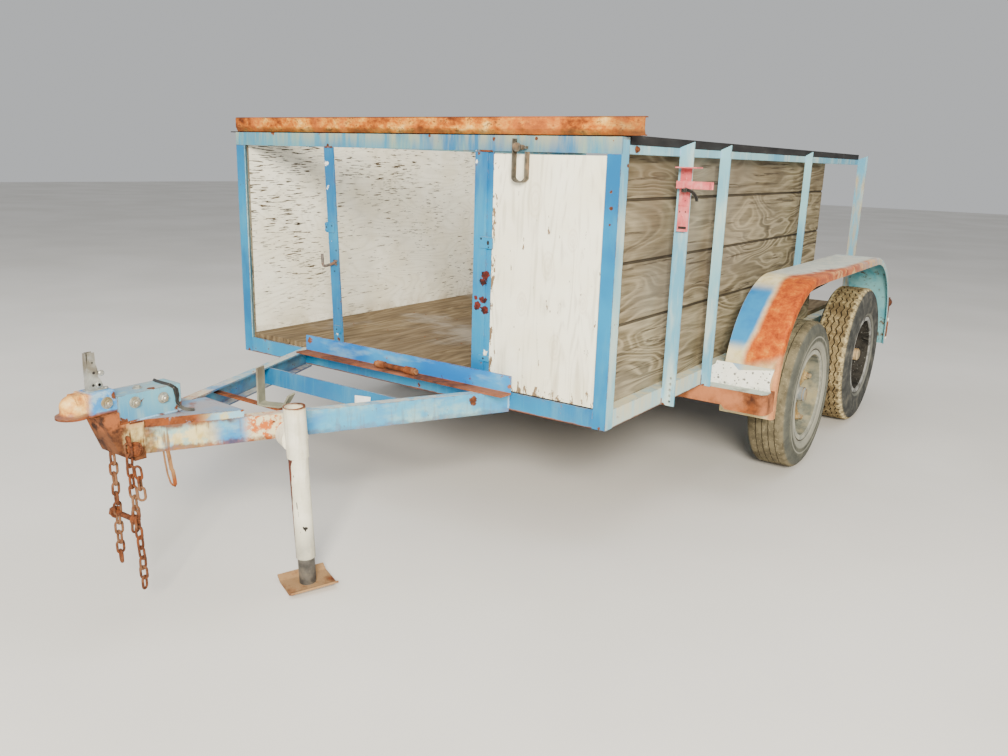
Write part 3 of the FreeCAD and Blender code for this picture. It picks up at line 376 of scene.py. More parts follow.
# ------------------------------------------------------------------ timber
def ply(name, light, mid, dark, grain=1.0, stain=0.5, contrast=1.0, loc=(0, 0, 0)):
    """Weathered plywood: contour-like figure running along Y, checks and stains, board by board."""
    m = Mat(name)
    groove = m.math("MAXIMUM", m.math("MAXIMUM", m.step(m.math("ABSOLUTE", m.math("SUBTRACT", m.z, 1.192)), 0.007, 0.004),
                                      m.step(m.math("ABSOLUTE", m.math("SUBTRACT", m.z, 0.986)), 0.007, 0.004)),
                    m.step(m.math("ABSOLUTE", m.math("SUBTRACT", m.z, 0.780)), 0.007, 0.004))
    row = m.math("FLOOR", m.math("DIVIDE", m.math("SUBTRACT", m.z, 0.574), 0.206))
    comb = m.t.nodes.new("ShaderNodeCombineXYZ")
    m.put(comb.inputs[0], m.math("MULTIPLY", row, 5.3))
    m.put(comb.inputs[1], m.math("MULTIPLY", m.y, 0.42))
    m.put(comb.inputs[2], m.math("MULTIPLY", m.z, 2.1))
    field = m.noise(2.3, 2.2, 0.42, 0.35, vec=m.add_vec(comb.outputs[0], loc))
    rings = m.math("SINE", m.math("MULTIPLY", field, 150.0 * grain))
    rings2 = m.math("SINE", m.math("MULTIPLY", field, 61.0 * grain))
    fibre = m.noise(30, 5.0, 0.6, vec=m.vec((1, 0.12, 3.2)))
    checks = m.step(m.noise(26, 4.0, 0.6, 0.2, vec=m.vec((1, 0.10, 2.6), (4, 2, 9))), 0.60, 0.68)
    cloud = m.noise(5.5, 5.0, 0.6, vec=m.vec((1, 0.5, 1.2), (7, 3, 5)))
    f = m.math("ADD", m.math("MULTIPLY", rings2, 0.06 * contrast), m.math("ADD", m.math("MULTIPLY", fibre, 0.62), m.math("MULTIPLY", cloud, 0.34)))
    col = m.ramp(f, [(0.30, dark), (0.47, mid), (0.68, light)])
    # raised pale figure and thin dark lines beside it
    crest = m.math("POWER", m.math("ABSOLUTE", m.math("SINE", m.math("MULTIPLY", field, 78.0 * grain))), 7.0)
    valley = m.math("POWER", m.math("ABSOLUTE", m.math("SINE", m.math("ADD", m.math("MULTIPLY", field, 78.0 * grain), 1.15))), 9.0)
    lit = m.step(m.noise(3.4, 4.0, 0.6, vec=m.vec((1, 0.6, 1.4), (2, 8, 6))), 0.34, 0.62, 0.20, 1.0)
    col = m.mix(m.math("MULTIPLY", m.math("MULTIPLY", valley, lit), 0.34 * contrast), col, dark)
    col = m.mix(m.math("MULTIPLY", m.math("MULTIPLY", crest, lit), 0.62 * contrast), col, m.mix(0.35, light, srgb(214, 200, 168)))
    # painted shadow of the top rail: a patchy darker band on the upper boards
    top_rail_shadow = m.math("MULTIPLY", m.step(m.z, 1.10, 1.26), m.step(m.noise(3.0, 5.0, 0.6, vec=m.vec((1, 0.5, 1.6), (3, 3, 1))), 0.34, 0.60))
    col = m.mix(m.math("MULTIPLY", top_rail_shadow, 0.55), col, srgb(86, 72, 54))
    weather = m.step(m.noise(1.9, 4.0, 0.55, vec=m.vec((1, 0.8, 1.2), (9, 2, 4))), 0.44, 0.66)
    col = m.mix(m.math("MULTIPLY", weather, 0.40), col, srgb(122, 116, 100))
    patch = m.noise(1.5, 4.0, 0.6, vec=m.vec((1, 0.8, 1.6), (1, 6, 2)))
    col = m.mix(m.math("MULTIPLY", m.step(patch, 0.5, 0.68), stain), col, srgb(84, 66, 50))
    grey = m.noise(0.9, 3.0, 0.5, vec=m.vec((1, 1, 1), (9, 3, 2)))
    col = m.mix(m.math("MULTIPLY", m.step(grey, 0.45, 0.62), 0.5), col, srgb(150, 144, 130))
    col = m.mix(m.math("MULTIPLY", checks, 0.75), col, srgb(58, 46, 36))
    dist = m.voro(3.1, vec=m.vec((1, 0.8, 1.0), (2, 4, 1)))
    knot = m.step(dist, 0.075, 0.03)
    col = m.mix(knot, col, srgb(70, 44, 28))
    col = m.mix(m.math("MULTIPLY", groove, 0.8), col, srgb(44, 36, 28))
    h = m.math("ADD", m.math("MULTIPLY", rings, 0.25), m.math("ADD", m.math("MULTIPLY", fibre, 1.2), m.math("MULTIPLY", checks, -1.4)))
    return m, col, h, groove


m, col, h, groove = ply("side_wood", srgb(170, 157, 128), srgb(126, 114, 88), srgb(76, 65, 47), contrast=1.05, stain=0.40)
M["side_wood"] = m.done(col, 0.88, m.bump(h, 0.5, 0.002), spec=0.2)

# the far wall: the same boards outside, flaking cream paint inside
m, col, h, groove = ply("far_wall", srgb(170, 157, 128), srgb(126, 114, 88), srgb(76, 65, 47), contrast=1.05, stain=0.4, loc=(3, 1, 0))
nx, ny, nz = m.normal()
inside = m.step(nx, 0.4, 0.7)
zone = m.noise(2.2, 4.0, 0.55, vec=m.vec((1, 1, 1), (5, 5, 5)))
near_front = m.step(m.y, S(1300), S(60))
near_top = m.step(m.z, 1.10, 1.33)
low_fade = m.step(m.z, 0.54, 0.72)
dense = m.math("ADD", m.math("MULTIPLY", m.step(zone, 0.42, 0.66, smooth=False), 0.075),
               m.math("ADD", m.math("MULTIPLY", near_front, 0.035), m.math("MULTIPLY", near_top, 0.028)))
f_fine = m.noise(64, 3.0, 0.55, 0.1, vec=m.vec((1, 0.24, 2.9)))
f_wide = m.noise(21, 6.0, 0.66, 0.25, vec=m.vec((1, 0.30, 2.4), (2, 5, 1)))
flake = m.math("MAXIMUM", m.step(m.math("ADD", f_fine, dense), 0.675, 0.695), m.step(m.math("ADD", f_wide, m.math("MULTIPLY", dense, 0.45)), 0.70, 0.72))
flake = m.math("MULTIPLY", flake, m.step(low_fade, 0.0, 1.0, 0.55, 1.0))
cream = m.mix(m.step(m.noise(5, 4.0, 0.6), 0.35, 0.65), srgb(240, 234, 212), srgb(250, 247, 230))
comb_w = m.t.nodes.new("ShaderNodeCombineXYZ")
m.put(comb_w.inputs[1], m.math("MULTIPLY", m.y, 0.55))
m.put(comb_w.inputs[2], m.math("MULTIPLY", m.z, 1.7))
field_w = m.noise(2.0, 2.0, 0.42, 0.3, vec=comb_w.outputs[0])
ring_w = m.math("POWER", m.math("ABSOLUTE", m.math("SINE", m.math("MULTIPLY", field_w, 95.0))), 6.0)
cream = m.mix(m.math("MULTIPLY", ring_w, 0.26), cream, srgb(196, 190, 168))
hline = m.noise(70, 3.0, 0.5, vec=m.vec((1, 0.05, 1.6)))
cream = m.mix(m.math("MULTIPLY", m.step(hline, 0.5, 0.72), 0.28), cream, srgb(212, 204, 184))
wood_in = m.mix(m.step(m.noise(40, 4.0, 0.6, vec=m.vec((1, 0.1, 1.0))), 0.4, 0.6), srgb(48, 38, 28), srgb(92, 76, 56))
foot_in = m.math("MULTIPLY", m.step(m.z, 0.60, 0.54), m.step(m.noise(12, 5.0, 0.6), 0.35, 0.6))
cream = m.mix(m.math("MULTIPLY", foot_in, 0.5), cream, srgb(176, 158, 128))
paint_col = m.mix(flake, cream, wood_in)
col2 = m.mix(inside, col, paint_col)
h2 = m.math("ADD", m.math("MULTIPLY", inside, m.math("MULTIPLY", flake, -1.2)), m.math("MULTIPLY", h, 0.35))
M["far_wall"] = m.done(col2, 0.8, m.bump(h2, 0.5, 0.0018), spec=0.25)


def white_panel():
    m = Mat("white_panel_paint")
    fibre = m.noise(46, 5.0, 0.6, vec=m.vec((1.5, 1.5, 0.07)))
    field = m.noise(2.4, 2.0, 0.4, 0.3, vec=m.vec((3.2, 1, 0.55), (1, 1, 4)))
    rings = m.math("SINE", m.math("MULTIPLY", field, 95.0))
    base = m.mix(m.step(m.noise(3, 4.0, 0.6), 0.35, 0.65), srgb(242, 236, 210), srgb(252, 249, 230))
    line = m.math("MULTIPLY", m.step(m.math("ADD", m.math("MULTIPLY", rings, 0.12), fibre), 0.50, 0.74), 0.42)
    base = m.mix(line, base, srgb(186, 178, 156))
    # ovals where the knots show through
    knots = None
    for kx, kz, r in ((0.60, 1.18, 0.030), (0.66, 0.97, 0.026), (0.75, 1.06, 0.020), (0.56, 0.83, 0.022), (0.70, 0.70, 0.024), (0.80, 0.86, 0.018)):
        cx = m.math("DIVIDE", m.math("SUBTRACT", m.x, kx), r)
        cz = m.math("DIVIDE", m.math("SUBTRACT", m.z, kz), r * 2.0)
        d = m.math("SQRT", m.math("ADD", m.math("MULTIPLY", cx, cx), m.math("MULTIPLY", cz, cz)))
        v = m.math("MULTIPLY", m.step(d, 1.15, 0.85), m.step(m.math("SINE", m.math("MULTIPLY", d, 16.0)), -0.6, 1.0, 0.35, 1.0))
        knots = v if knots is None else m.math("MAXIMUM", knots, v)
    base = m.mix(m.math("MULTIPLY", knots, 0.24), base, srgb(188, 172, 140))
    chip = m.step(m.math("ADD", m.noise(30, 6.0, 0.65, vec=m.vec((1.4, 1, 0.5), (3, 3, 3))),
                         m.math("MULTIPLY", m.math("ADD", m.step(m.z, 0.60, 0.53), m.step(m.x, 0.47, 0.43)), 0.12)), 0.655, 0.675)
    base = m.mix(chip, base, srgb(126, 104, 78))
    run = m.math("MULTIPLY", m.step(m.z, 0.75, 0.53), m.step(m.noise(14, 4.0, 0.6, vec=m.vec((1.4, 1, 0.12))), 0.5, 0.72))
    base = m.mix(m.math("MULTIPLY", run, 0.4), base, srgb(160, 140, 108))
    h = m.math("ADD", m.math("MULTIPLY", fibre, 0.8), m.math("ADD", m.math("MULTIPLY", rings, 0.08), m.math("MULTIPLY", chip, -1.0)))
    return m.done(base, 0.72, m.bump(h, 0.45, 0.0016), spec=0.3)


M["white_panel"] = white_panel()


def planks():
    """Dry floor boards, each with its own shade, dirt in the gaps and a grey walked-on middle."""
    m = Mat("planks")
    idx = m.math("FLOOR", m.math("DIVIDE", m.math("ADD", m.x, 0.856), 0.214))
    comb = m.t.nodes.new("ShaderNodeCombineXYZ")
    m.put(comb.inputs[0], m.math("ADD", m.math("MULTIPLY", m.x, 1.0), m.math("MULTIPLY", idx, 3.7)))
    m.put(comb.inputs[1], m.math("MULTIPLY", m.y, 0.10))
    m.put(comb.inputs[2], m.math("MULTIPLY", m.z, 1.0))
    fibre = m.noise(34, 6.0, 0.62, vec=comb.outputs[0])
    comb2 = m.t.nodes.new("ShaderNodeCombineXYZ")
    m.put(comb2.inputs[0], m.math("ADD", m.math("MULTIPLY", m.x, 3.0), m.math("MULTIPLY", idx, 9.1)))
    m.put(comb2.inputs[1], m.math("MULTIPLY", m.y, 0.5))
    field = m.noise(2.0, 2.0, 0.4, 0.3, vec=comb2.outputs[0])
    rings = m.math("SINE", m.math("MULTIPLY", field, 90.0))
    shade = m.noise(1.0, 0.0, 0.5, vec=comb2.outputs[0])
    f = m.math("ADD", m.math("MULTIPLY", rings, 0.10), fibre)
    col = m.ramp(f, [(0.22, srgb(78, 64, 44)), (0.5, srgb(112, 94, 68)), (0.78, srgb(148, 130, 100))])
    w = m.t.nodes.new("ShaderNodeTexWhiteNoise")
    w.noise_dimensions = "1D"
    m.put(w.inputs["W"], idx)
    col = m.mix(m.math("MULTIPLY", w.outputs[0], 0.35), col, srgb(104, 88, 70))
    dirt = m.step(m.noise(3.2, 5.0, 0.65), 0.48, 0.66)
    col = m.mix(m.math("MULTIPLY", dirt, 0.40), col, srgb(84, 68, 48))
    pale = m.step(m.noise(2.2, 5.0, 0.6, vec=m.vec(loc=(4, 4, 4))), 0.52, 0.70)
    col = m.mix(m.math("MULTIPLY", pale, 0.5), col, srgb(168, 160, 146))
    crack = m.step(m.noise(22, 3.0, 0.5, vec=m.vec((2.2, 0.06, 1), (8, 8, 8))), 0.64, 0.68)
    col = m.mix(m.math("MULTIPLY", crack, 0.6), col, srgb(58, 48, 38))
    h = m.math("ADD", m.math("MULTIPLY", fibre, 0.8), m.math("MULTIPLY", crack, -1.5))
    return m.done(col, 0.9, m.bump(h, 0.5, 0.002), spec=0.2)


M["planks"] = planks()


# ------------------------------------------------------------------ header pipe, strips, fenders
def orange_pipe():
    m = Mat("orange_pipe")
    n1 = m.noise(13, 7.0, 0.66, vec=m.vec((0.7, 1, 1)))
    n2 = m.noise(46, 6.0, 0.68, vec=m.vec((0.6, 1, 1)))
    n3 = m.noise(120, 4.0, 0.6, vec=m.vec((0.7, 1, 1)))
    mixn = m.math("ADD", m.math("MULTIPLY", n1, 0.62), m.math("MULTIPLY", n2, 0.38))
    base = m.ramp(mixn, [(0.34, srgb(60, 28, 12)), (0.42, srgb(128, 62, 18)), (0.49, srgb(182, 100, 26)), (0.56, srgb(214, 148, 58)), (0.66, srgb(240, 210, 134))])
    pits = m.step(m.math("ADD", m.math("MULTIPLY", n2, 0.6), m.math("MULTIPLY", n3, 0.4)), 0.555, 0.60)
    base = m.mix(m.math("MULTIPLY", pits, 0.75), base, srgb(84, 42, 28))
    # painted shade: the lower band of the face is darker brown, its strength varied by noise
    under = m.step(m.math("ADD", m.z, m.math("MULTIPLY", m.math("SUBTRACT", n1, 0.5), 0.03)), 1.413, 1.396)
    base = m.mix(m.math("MULTIPLY", under, m.step(n2, 0.35, 0.6, 0.30, 0.85)), base, srgb(84, 56, 30))
    base = m.mix(m.math("MULTIPLY", m.step(m.z, 1.4395, 1.4425), 0.8), base, srgb(92, 50, 28))
    band = m.step(m.noise(5, 4.0, 0.6, vec=m.vec((1, 0.2, 0.2), (3, 1, 8))), 0.52, 0.62)
    base = m.mix(m.math("MULTIPLY", band, 0.45), base, srgb(190, 104, 48))
    ends = m.math("MULTIPLY", m.step(m.math("ABSOLUTE", m.x), 0.84, 0.90), m.step(n1, 0.36, 0.56))
    base = m.mix(m.math("MULTIPLY", ends, 0.6), base, srgb(104, 56, 36))
    # the flat bar under the pipe is painted nearly black as the shadow beneath the pipe
    bar = m.step(m.z, 1.3892, 1.3888)
    base = m.mix(bar, base, srgb(40, 36, 34))
    h = m.math("ADD", n2, m.math("MULTIPLY", m.voro(90), 0.5))
    return m.done(base, 0.86, m.bump(h, 0.5, 0.003), spec=0.25)


M["pipe"] = orange_pipe()


def dark_strip():
    # The side caps are painted near black as the shadow under the side rails' top flange; their up-facing faces get a
    # paler dust.
    m = Mat("dark_strip")
    n = m.noise(24, 5.0, 0.6, vec=m.vec((1, 0.25, 1)))
    col = m.ramp(n, [(0.3, srgb(22, 22, 24)), (0.6, srgb(44, 43, 44)), (0.78, srgb(92, 88, 82))])
    nx, ny, nz = m.normal()
    col = m.mix(m.math("MULTIPLY", m.step(nz, 0.5, 0.9), m.step(n, 0.4, 0.62, 0.15, 0.6)), col, srgb(120, 114, 102))
    return m.done(col, 0.8, m.bump(n, 0.4, 0.002), spec=0.3)


M["strip"] = dark_strip()


def fender_paint():
    """Sky blue left inboard, a broad bloom of orange rust down the outer half, cream between and low
    down, a chalky grey-cream top, and dull teal underneath."""
    m = Mat("fender_paint")
    nx, ny, nz = m.normal()
    ax = m.math("ABSOLUTE", m.x)
    u = m.math("DIVIDE", m.math("SUBTRACT", ax, 0.961), 0.220)            # 0 inboard, 1 at the outer edge
    st = m.math("SUBTRACT", m.y, F0)                                     # station in metres
    warp = m.noise(4.2, 4.0, 0.6)
    wob = m.math("MULTIPLY", m.math("SUBTRACT", warp, 0.5), 0.55)
    n = m.noise(26, 6.0, 0.62)
    fine = m.noise(110, 4.0, 0.6)
    # run along the arch: 0 at the front foot, 1 where the top begins, 2 at the end of the flat top
    run_front = m.math("DIVIDE", m.math("SUBTRACT", m.z, 0.33), 0.53)
    top = m.step(st, 1.25, 1.42)
    back = m.step(st, 2.35, 2.6)
    grey = m.mix(m.step(n, 0.4, 0.62), srgb(184, 190, 182), srgb(206, 206, 192))
    blue = m.mix(m.step(warp, 0.35, 0.65), srgb(4, 102, 168), srgb(38, 134, 188))
    cream = m.mix(m.step(n, 0.35, 0.65), srgb(212, 194, 136), srgb(230, 216, 172))
    orange = m.ramp(m.math("ADD", m.math("MULTIPLY", n, 0.7), m.math("MULTIPLY", fine, 0.3)),
                    [(0.32, srgb(104, 38, 4)), (0.44, srgb(164, 66, 4)), (0.56, srgb(192, 92, 8)), (0.74, srgb(218, 146, 54))])
    # front slope: blue inboard, above the cream foot
    edge_u = m.math("ADD", m.step(m.z, 0.56, 0.72, 0.26, 0.41), m.math("MULTIPLY", wob, 0.35))
    in_orange = m.step(m.math("SUBTRACT", u, edge_u), -0.02, 0.13)
    in_blue = m.math("MULTIPLY", m.step(m.math("SUBTRACT", edge_u, u), -0.07, 0.05),
                     m.math("MULTIPLY", m.step(m.math("ADD", m.z, m.math("MULTIPLY", wob, 0.12)), 0.575, 0.635), m.step(m.z, 0.845, 0.80)))
    slope = m.mix(in_blue, cream, blue)
    low_fade = m.step(m.math("SUBTRACT", m.math("ADD", m.z, m.math("MULTIPLY", wob, 0.12)), m.math("MULTIPLY", u, 0.07)), 0.475, 0.535)
    edge_low = m.step(u, 0.80, 0.97)
    slope = m.mix(m.math("MULTIPLY", in_orange, m.math("MAXIMUM", low_fade, m.math("MULTIPLY", edge_low, 0.75))), slope, orange)
    # flat top: grey-cream, the orange running out along the outer edge
    t_edge = m.math("ADD", m.math("ADD", m.step(st, 1.2, 2.0, 0.42, 0.80), m.math("MULTIPLY", wob, 0.8)), m.math("MULTIPLY", m.math("SUBTRACT", n, 0.5), 0.5))
    t_or = m.math("MULTIPLY", m.step(m.math("SUBTRACT", u, t_edge), 0.0, 0.22), m.step(st, 2.35, 1.9, 0.35, 1.0))
    flat = m.mix(m.math("MULTIPLY", t_or, 0.92), grey, orange)
    # outer lip and shoulder further back: mottled cream and rust, then pale blue
    lip = m.math("MULTIPLY", m.step(u, 0.82, 0.95), m.step(n, 0.42, 0.58))
    lipc = m.mix(m.step(m.noise(12, 5.0, 0.6), 0.44, 0.56), srgb(208, 172, 122), srgb(192, 108, 60))
    flat = m.mix(m.math("MULTIPLY", lip, m.step(st, 1.5, 1.7)), flat, lipc)
    rear = m.mix(m.step(n, 0.4, 0.6), srgb(150, 184, 196), srgb(186, 196, 186))
    body = m.mix(top, slope, flat)
    body = m.mix(back, body, rear)
    # worn pale line on the rolled edge
    e = m.edge(0.004)
    body = m.mix(m.math("MULTIPLY", e, 0.45), body, srgb(232, 206, 160))
    # underside: teal over undercoat
    py = m.math("SUBTRACT", m.y, m.math("MINIMUM", m.math("MAXIMUM", m.y, S(1350)), S(2450)))
    pz = m.math("SUBTRACT", m.z, 0.41)
    outward = m.math("ADD", m.math("MULTIPLY", ny, py), m.math("MULTIPLY", nz, pz))
    side_out = m.math("MULTIPLY", nx, m.math("SIGN", m.x))
    under = m.math("MAXIMUM", m.math("MULTIPLY", m.step(outward, -0.02, -0.06), m.step(m.math("ABSOLUTE", side_out), 0.85, 0.6)), m.step(side_out, -0.5, -0.7))
    teal = m.mix(m.step(m.noise(7, 5.0, 0.6), 0.38, 0.62), srgb(70, 148, 164), srgb(124, 182, 186))
    teal = m.mix(m.step(n, 0.55, 0.68), teal, srgb(96, 78, 58))
    body = m.mix(under, body, teal)
    h = m.math("ADD", m.math("MULTIPLY", fine, 0.6), m.math("MULTIPLY", n, 0.5))
    rough = m.math("ADD", 0.62, m.math("MULTIPLY", n, 0.3))
    return m.done(body, rough, m.bump(h, 0.25, 0.0012), spec=0.35)


M["fender"] = fender_paint()

# ------------------------------------------------------------------ tongue, coupler, jack
def tongue_paint():
    """Blue rails: light and dusty, orange and cream sores behind the gusset, rusty yellow-cream at the
    nose, a blue patch between."""
    m = Mat("tongue_paint")
    nx, ny, nz = m.normal()
    st = m.math("SUBTRACT", m.y, F0)
    n = m.noise(20, 6.0, 0.62)
    fine = m.noise(80, 5.0, 0.62)
    big = m.noise(4, 4.0, 0.55)
    blue = m.mix(m.step(big, 0.38, 0.62), srgb(16, 116, 182), srgb(70, 156, 196))
    pale = m.mix(m.step(n, 0.4, 0.6), srgb(98, 168, 192), srgb(154, 190, 184))
    col = m.mix(m.math("MULTIPLY", m.step(m.noise(7, 4.0, 0.6, vec=m.vec((1, 0.4, 1.4))), 0.42, 0.62), 0.7), blue, pale)
    cream = m.mix(m.step(n, 0.38, 0.6), srgb(190, 166, 96), srgb(214, 198, 144))
    # nose end: cream-yellow with rust; a clean blue patch near station -900
    nose = m.step(m.math("ADD", st, m.math("MULTIPLY", m.math("SUBTRACT", big, 0.5), 0.12)), -0.90, -0.965)
    col = m.mix(m.math("MULTIPLY", nose, m.step(m.noise(9, 5.0, 0.62), 0.36, 0.50)), col, cream)
    turq = m.math("MULTIPLY", m.step(st, -0.86, -0.93), m.step(m.noise(11, 5.0, 0.6, vec=m.vec((1, 1, 1), (6, 2, 9))), 0.52, 0.60))
    col = m.mix(m.math("MULTIPLY", turq, 0.7), col, srgb(120, 176, 180))
    runs = m.math("MULTIPLY", m.step(m.noise(60, 4.0, 0.6, vec=m.vec((1, 1, 0.12), (1, 1, 7))), 0.54, 0.66), m.step(st, -0.70, -1.05, 0.25, 0.85))
    col = m.mix(runs, col, srgb(118, 82, 44))
    # sores: orange freckles with a cream halo just ahead of the jack
    sore = m.math("MULTIPLY", m.step(st, -0.86, -0.82), m.step(st, -0.71, -0.75))
    col = m.mix(m.math("MULTIPLY", sore, 0.9), col, srgb(220, 206, 160))
    col = m.mix(m.math("MULTIPLY", sore, m.step(m.noise(44, 6.0, 0.7), 0.44, 0.55)), col, srgb(188, 96, 30))
    mask, n2, f2 = rust_mask(m, 0.8, 0.005, [(0.20, S(-770), 0.52, 0.03), (0.47, S(-130), 0.50, 0.03), (0.36, S(-420), 0.51, 0.02)], None, 0.55)
    # upper band and lower edge of the nose rust through
    zz = m.math("SUBTRACT", m.z, m.math("MULTIPLY", st, -0.0291))        # height on the slope
    up_band = m.math("MULTIPLY", m.step(m.math("ADD", zz, m.math("MULTIPLY", m.math("SUBTRACT", n, 0.5), 0.05)), 0.505, 0.522), m.step(st, -0.82, -0.90))
    low_band = m.math("MULTIPLY", m.step(m.math("ADD", zz, m.math("MULTIPLY", m.math("SUBTRACT", n, 0.5), 0.06)), 0.462, 0.449),
                      m.step(st, -0.55, -0.9, 0.45, 1.0))
    front = m.step(m.math("ADD", st, m.math("MULTIPLY", m.math("SUBTRACT", n, 0.5), 0.10)), -1.06, -1.10)
    mask = m.math("MAXIMUM", mask, m.math("MAXIMUM", m.math("MAXIMUM", m.math("MULTIPLY", up_band, 0.92), m.math("MULTIPLY", low_band, 0.8)),
                                         m.math("MULTIPLY", front, 0.85)))
    top = m.math("MULTIPLY", m.step(nz, 0.6, 0.9), m.step(n, 0.42, 0.6, 0.2, 0.75))
    col = m.mix(top, col, srgb(196, 186, 166))
    # the rails' inward-facing sides are painted darker grey-blue as shade
    inward_side_shade = m.math("MULTIPLY", m.step(m.math("MULTIPLY", nx, m.math("SIGN", m.x)), -0.5, -0.8), 1.0)
    col = m.mix(m.math("MULTIPLY", inward_side_shade, m.step(n, 0.35, 0.6, 0.35, 0.75)), col, srgb(70, 92, 112))
    col = m.mix(mask, col, rust_color(m, 1.2, 0.85))
    h = m.math("ADD", m.math("MULTIPLY", mask, m.math("ADD", fine, -0.6)), m.math("MULTIPLY", n, 0.25))
    return m.done(col, m.step(mask, 0.0, 1.0, 0.52, 0.9), m.bump(h, 0.5, 0.002), spec=0.35)


M["tongue"] = tongue_paint()


def gusset_paint():
    m = Mat("gusset_paint")
    nx, ny, nz = m.normal()
    n = m.noise(18, 6.0, 0.62)
    fine = m.noise(90, 5.0, 0.6)
    base = m.mix(m.step(m.noise(6, 4.0, 0.6), 0.38, 0.6), srgb(112, 142, 170), srgb(142, 142, 148))
    base = m.mix(m.step(n, 0.52, 0.64), base, srgb(126, 96, 92))
    side = m.step(nz, 0.7, 0.4)
    st = m.math("SUBTRACT", m.y, F0)
    front_side = m.math("MULTIPLY", side, m.step(st, -0.90, -0.98))
    blue_side = m.mix(m.step(n, 0.45, 0.58), srgb(128, 178, 200), srgb(192, 180, 134))
    col = m.mix(side, base, blue_side)
    mask, n2, f2 = rust_mask(m, 0.9, 0.005, [(0.156, S(-848), 0.57, 0.02)], None, 0.6)
    mask = m.math("MAXIMUM", mask, m.math("MULTIPLY", front_side, m.step(n, 0.30, 0.45)))
    col = m.mix(mask, col, rust_color(m, 1.3, 0.85))
    h = m.math("ADD", m.math("MULTIPLY", mask, fine), m.math("MULTIPLY", n, 0.3))
    return m.done(col, m.step(mask, 0.0, 1.0, 0.6, 0.92), m.bump(h, 0.5, 0.002), spec=0.3)


M["gusset"] = gusset_paint()


def coupler_paint():
    """Blue sides going to a bare, sun-yellowed rusty dome at the front."""
    m = Mat("coupler_paint")
    st = m.math("SUBTRACT", m.y, F0)
    n = m.noise(22, 6.0, 0.62)
    big = m.noise(7, 4.0, 0.6)
    fine = m.noise(100, 5.0, 0.6)
    blue = m.mix(m.step(big, 0.4, 0.6), srgb(30, 118, 190), srgb(86, 158, 204))
    blue = m.mix(m.math("MULTIPLY", m.step(n, 0.5, 0.64), 0.6), blue, srgb(168, 194, 192))
    dome = m.ramp(n, [(0.28, srgb(90, 48, 24)), (0.42, srgb(172, 106, 48)), (0.54, srgb(222, 168, 88)), (0.70, srgb(244, 216, 150))])
    k = m.step(m.math("ADD", st, m.math("MULTIPLY", m.math("SUBTRACT", big, 0.5), 0.05)), -1.232, -1.256)
    col = m.mix(k, blue, dome)
    col = m.mix(m.math("MULTIPLY", m.math("MULTIPLY", k, m.step(m.z, 0.630, 0.620)), 0.8), col, srgb(104, 72, 64))
    mask, n2, f2 = rust_mask(m, 0.75, 0.004, [(0.03, S(-1172), 0.66, 0.02)], (0.612, 0.632), 0.5)
    col = m.mix(mask, col, rust_color(m, 1.6, 0.8))
    h = m.math("ADD", m.math("MULTIPLY", mask, fine), m.math("MULTIPLY", n, 0.3))
    return m.done(col, m.step(mask, 0.0, 1.0, 0.5, 0.9), m.bump(h, 0.4, 0.0015), spec=0.35)


M["coupler"] = coupler_paint()
M["channel"] = paint("channel_paint", srgb(50, 124, 168), srgb(98, 158, 178), srgb(178, 184, 152), amount=1.0, edge=0.0045, spots=0.6,
                     blobs=[(0.041, S(-1165), 0.575, 0.04), (0.041, S(-985), 0.585, 0.03), (0.03, S(-1060), 0.655, 0.02), (0.0, S(-1169), 0.64, 0.03)],
                     streak=0.7)


def nose_paint():
    """Dark rust on the prow, streaked ochre where its flanks run back along the rails."""
    m = Mat("nose_paint")
    st = m.math("SUBTRACT", m.y, F0)
    n = m.noise(20, 6.0, 0.62)
    fine = m.noise(90, 5.0, 0.6)
    run = m.noise(58, 4.0, 0.6, vec=m.vec((1, 1, 0.16)))
    rust = m.mix(m.step(n, 0.34, 0.62), srgb(52, 30, 20), srgb(112, 68, 40))
    ochre = m.mix(m.step(n, 0.38, 0.60), srgb(150, 118, 66), srgb(206, 188, 134))
    ochre = m.mix(m.step(run, 0.46, 0.60), ochre, srgb(96, 60, 34))
    k = m.step(m.math("ADD", st, m.math("MULTIPLY", m.math("SUBTRACT", n, 0.5), 0.09)), -1.172, -1.140)
    k = m.math("MULTIPLY", k, m.step(m.math("ADD", m.z, m.math("MULTIPLY", m.math("SUBTRACT", n, 0.5), 0.06)), 0.482, 0.512))
    col = m.mix(k, rust, ochre)
    bloom = m.math("MULTIPLY", m.step(m.z, 0.545, 0.575), m.step(n, 0.40, 0.55))
    col = m.mix(m.math("MULTIPLY", bloom, 0.7), col, srgb(160, 92, 52))
    return m.done(col, 0.9, m.bump(m.math("ADD", fine, n), 0.5, 0.002), spec=0.25)


M["nose"] = nose_paint()
M["rust"] = rusty("deep_rust", 0.8)
M["rust_light"] = rusty("light_rust", 0.95, 1.0, tint=srgb(188, 132, 88), tint_at=(0.45, 0.65))
M["step"] = rusty("step_rust", 1.0, 0.9, tint=srgb(178, 112, 72), tint_at=(0.38, 0.6))
M["chain"] = rusty("chain_rust", 0.62, 2.0, tint=srgb(118, 84, 60), tint_at=(0.46, 0.64))
M["sill"] = None


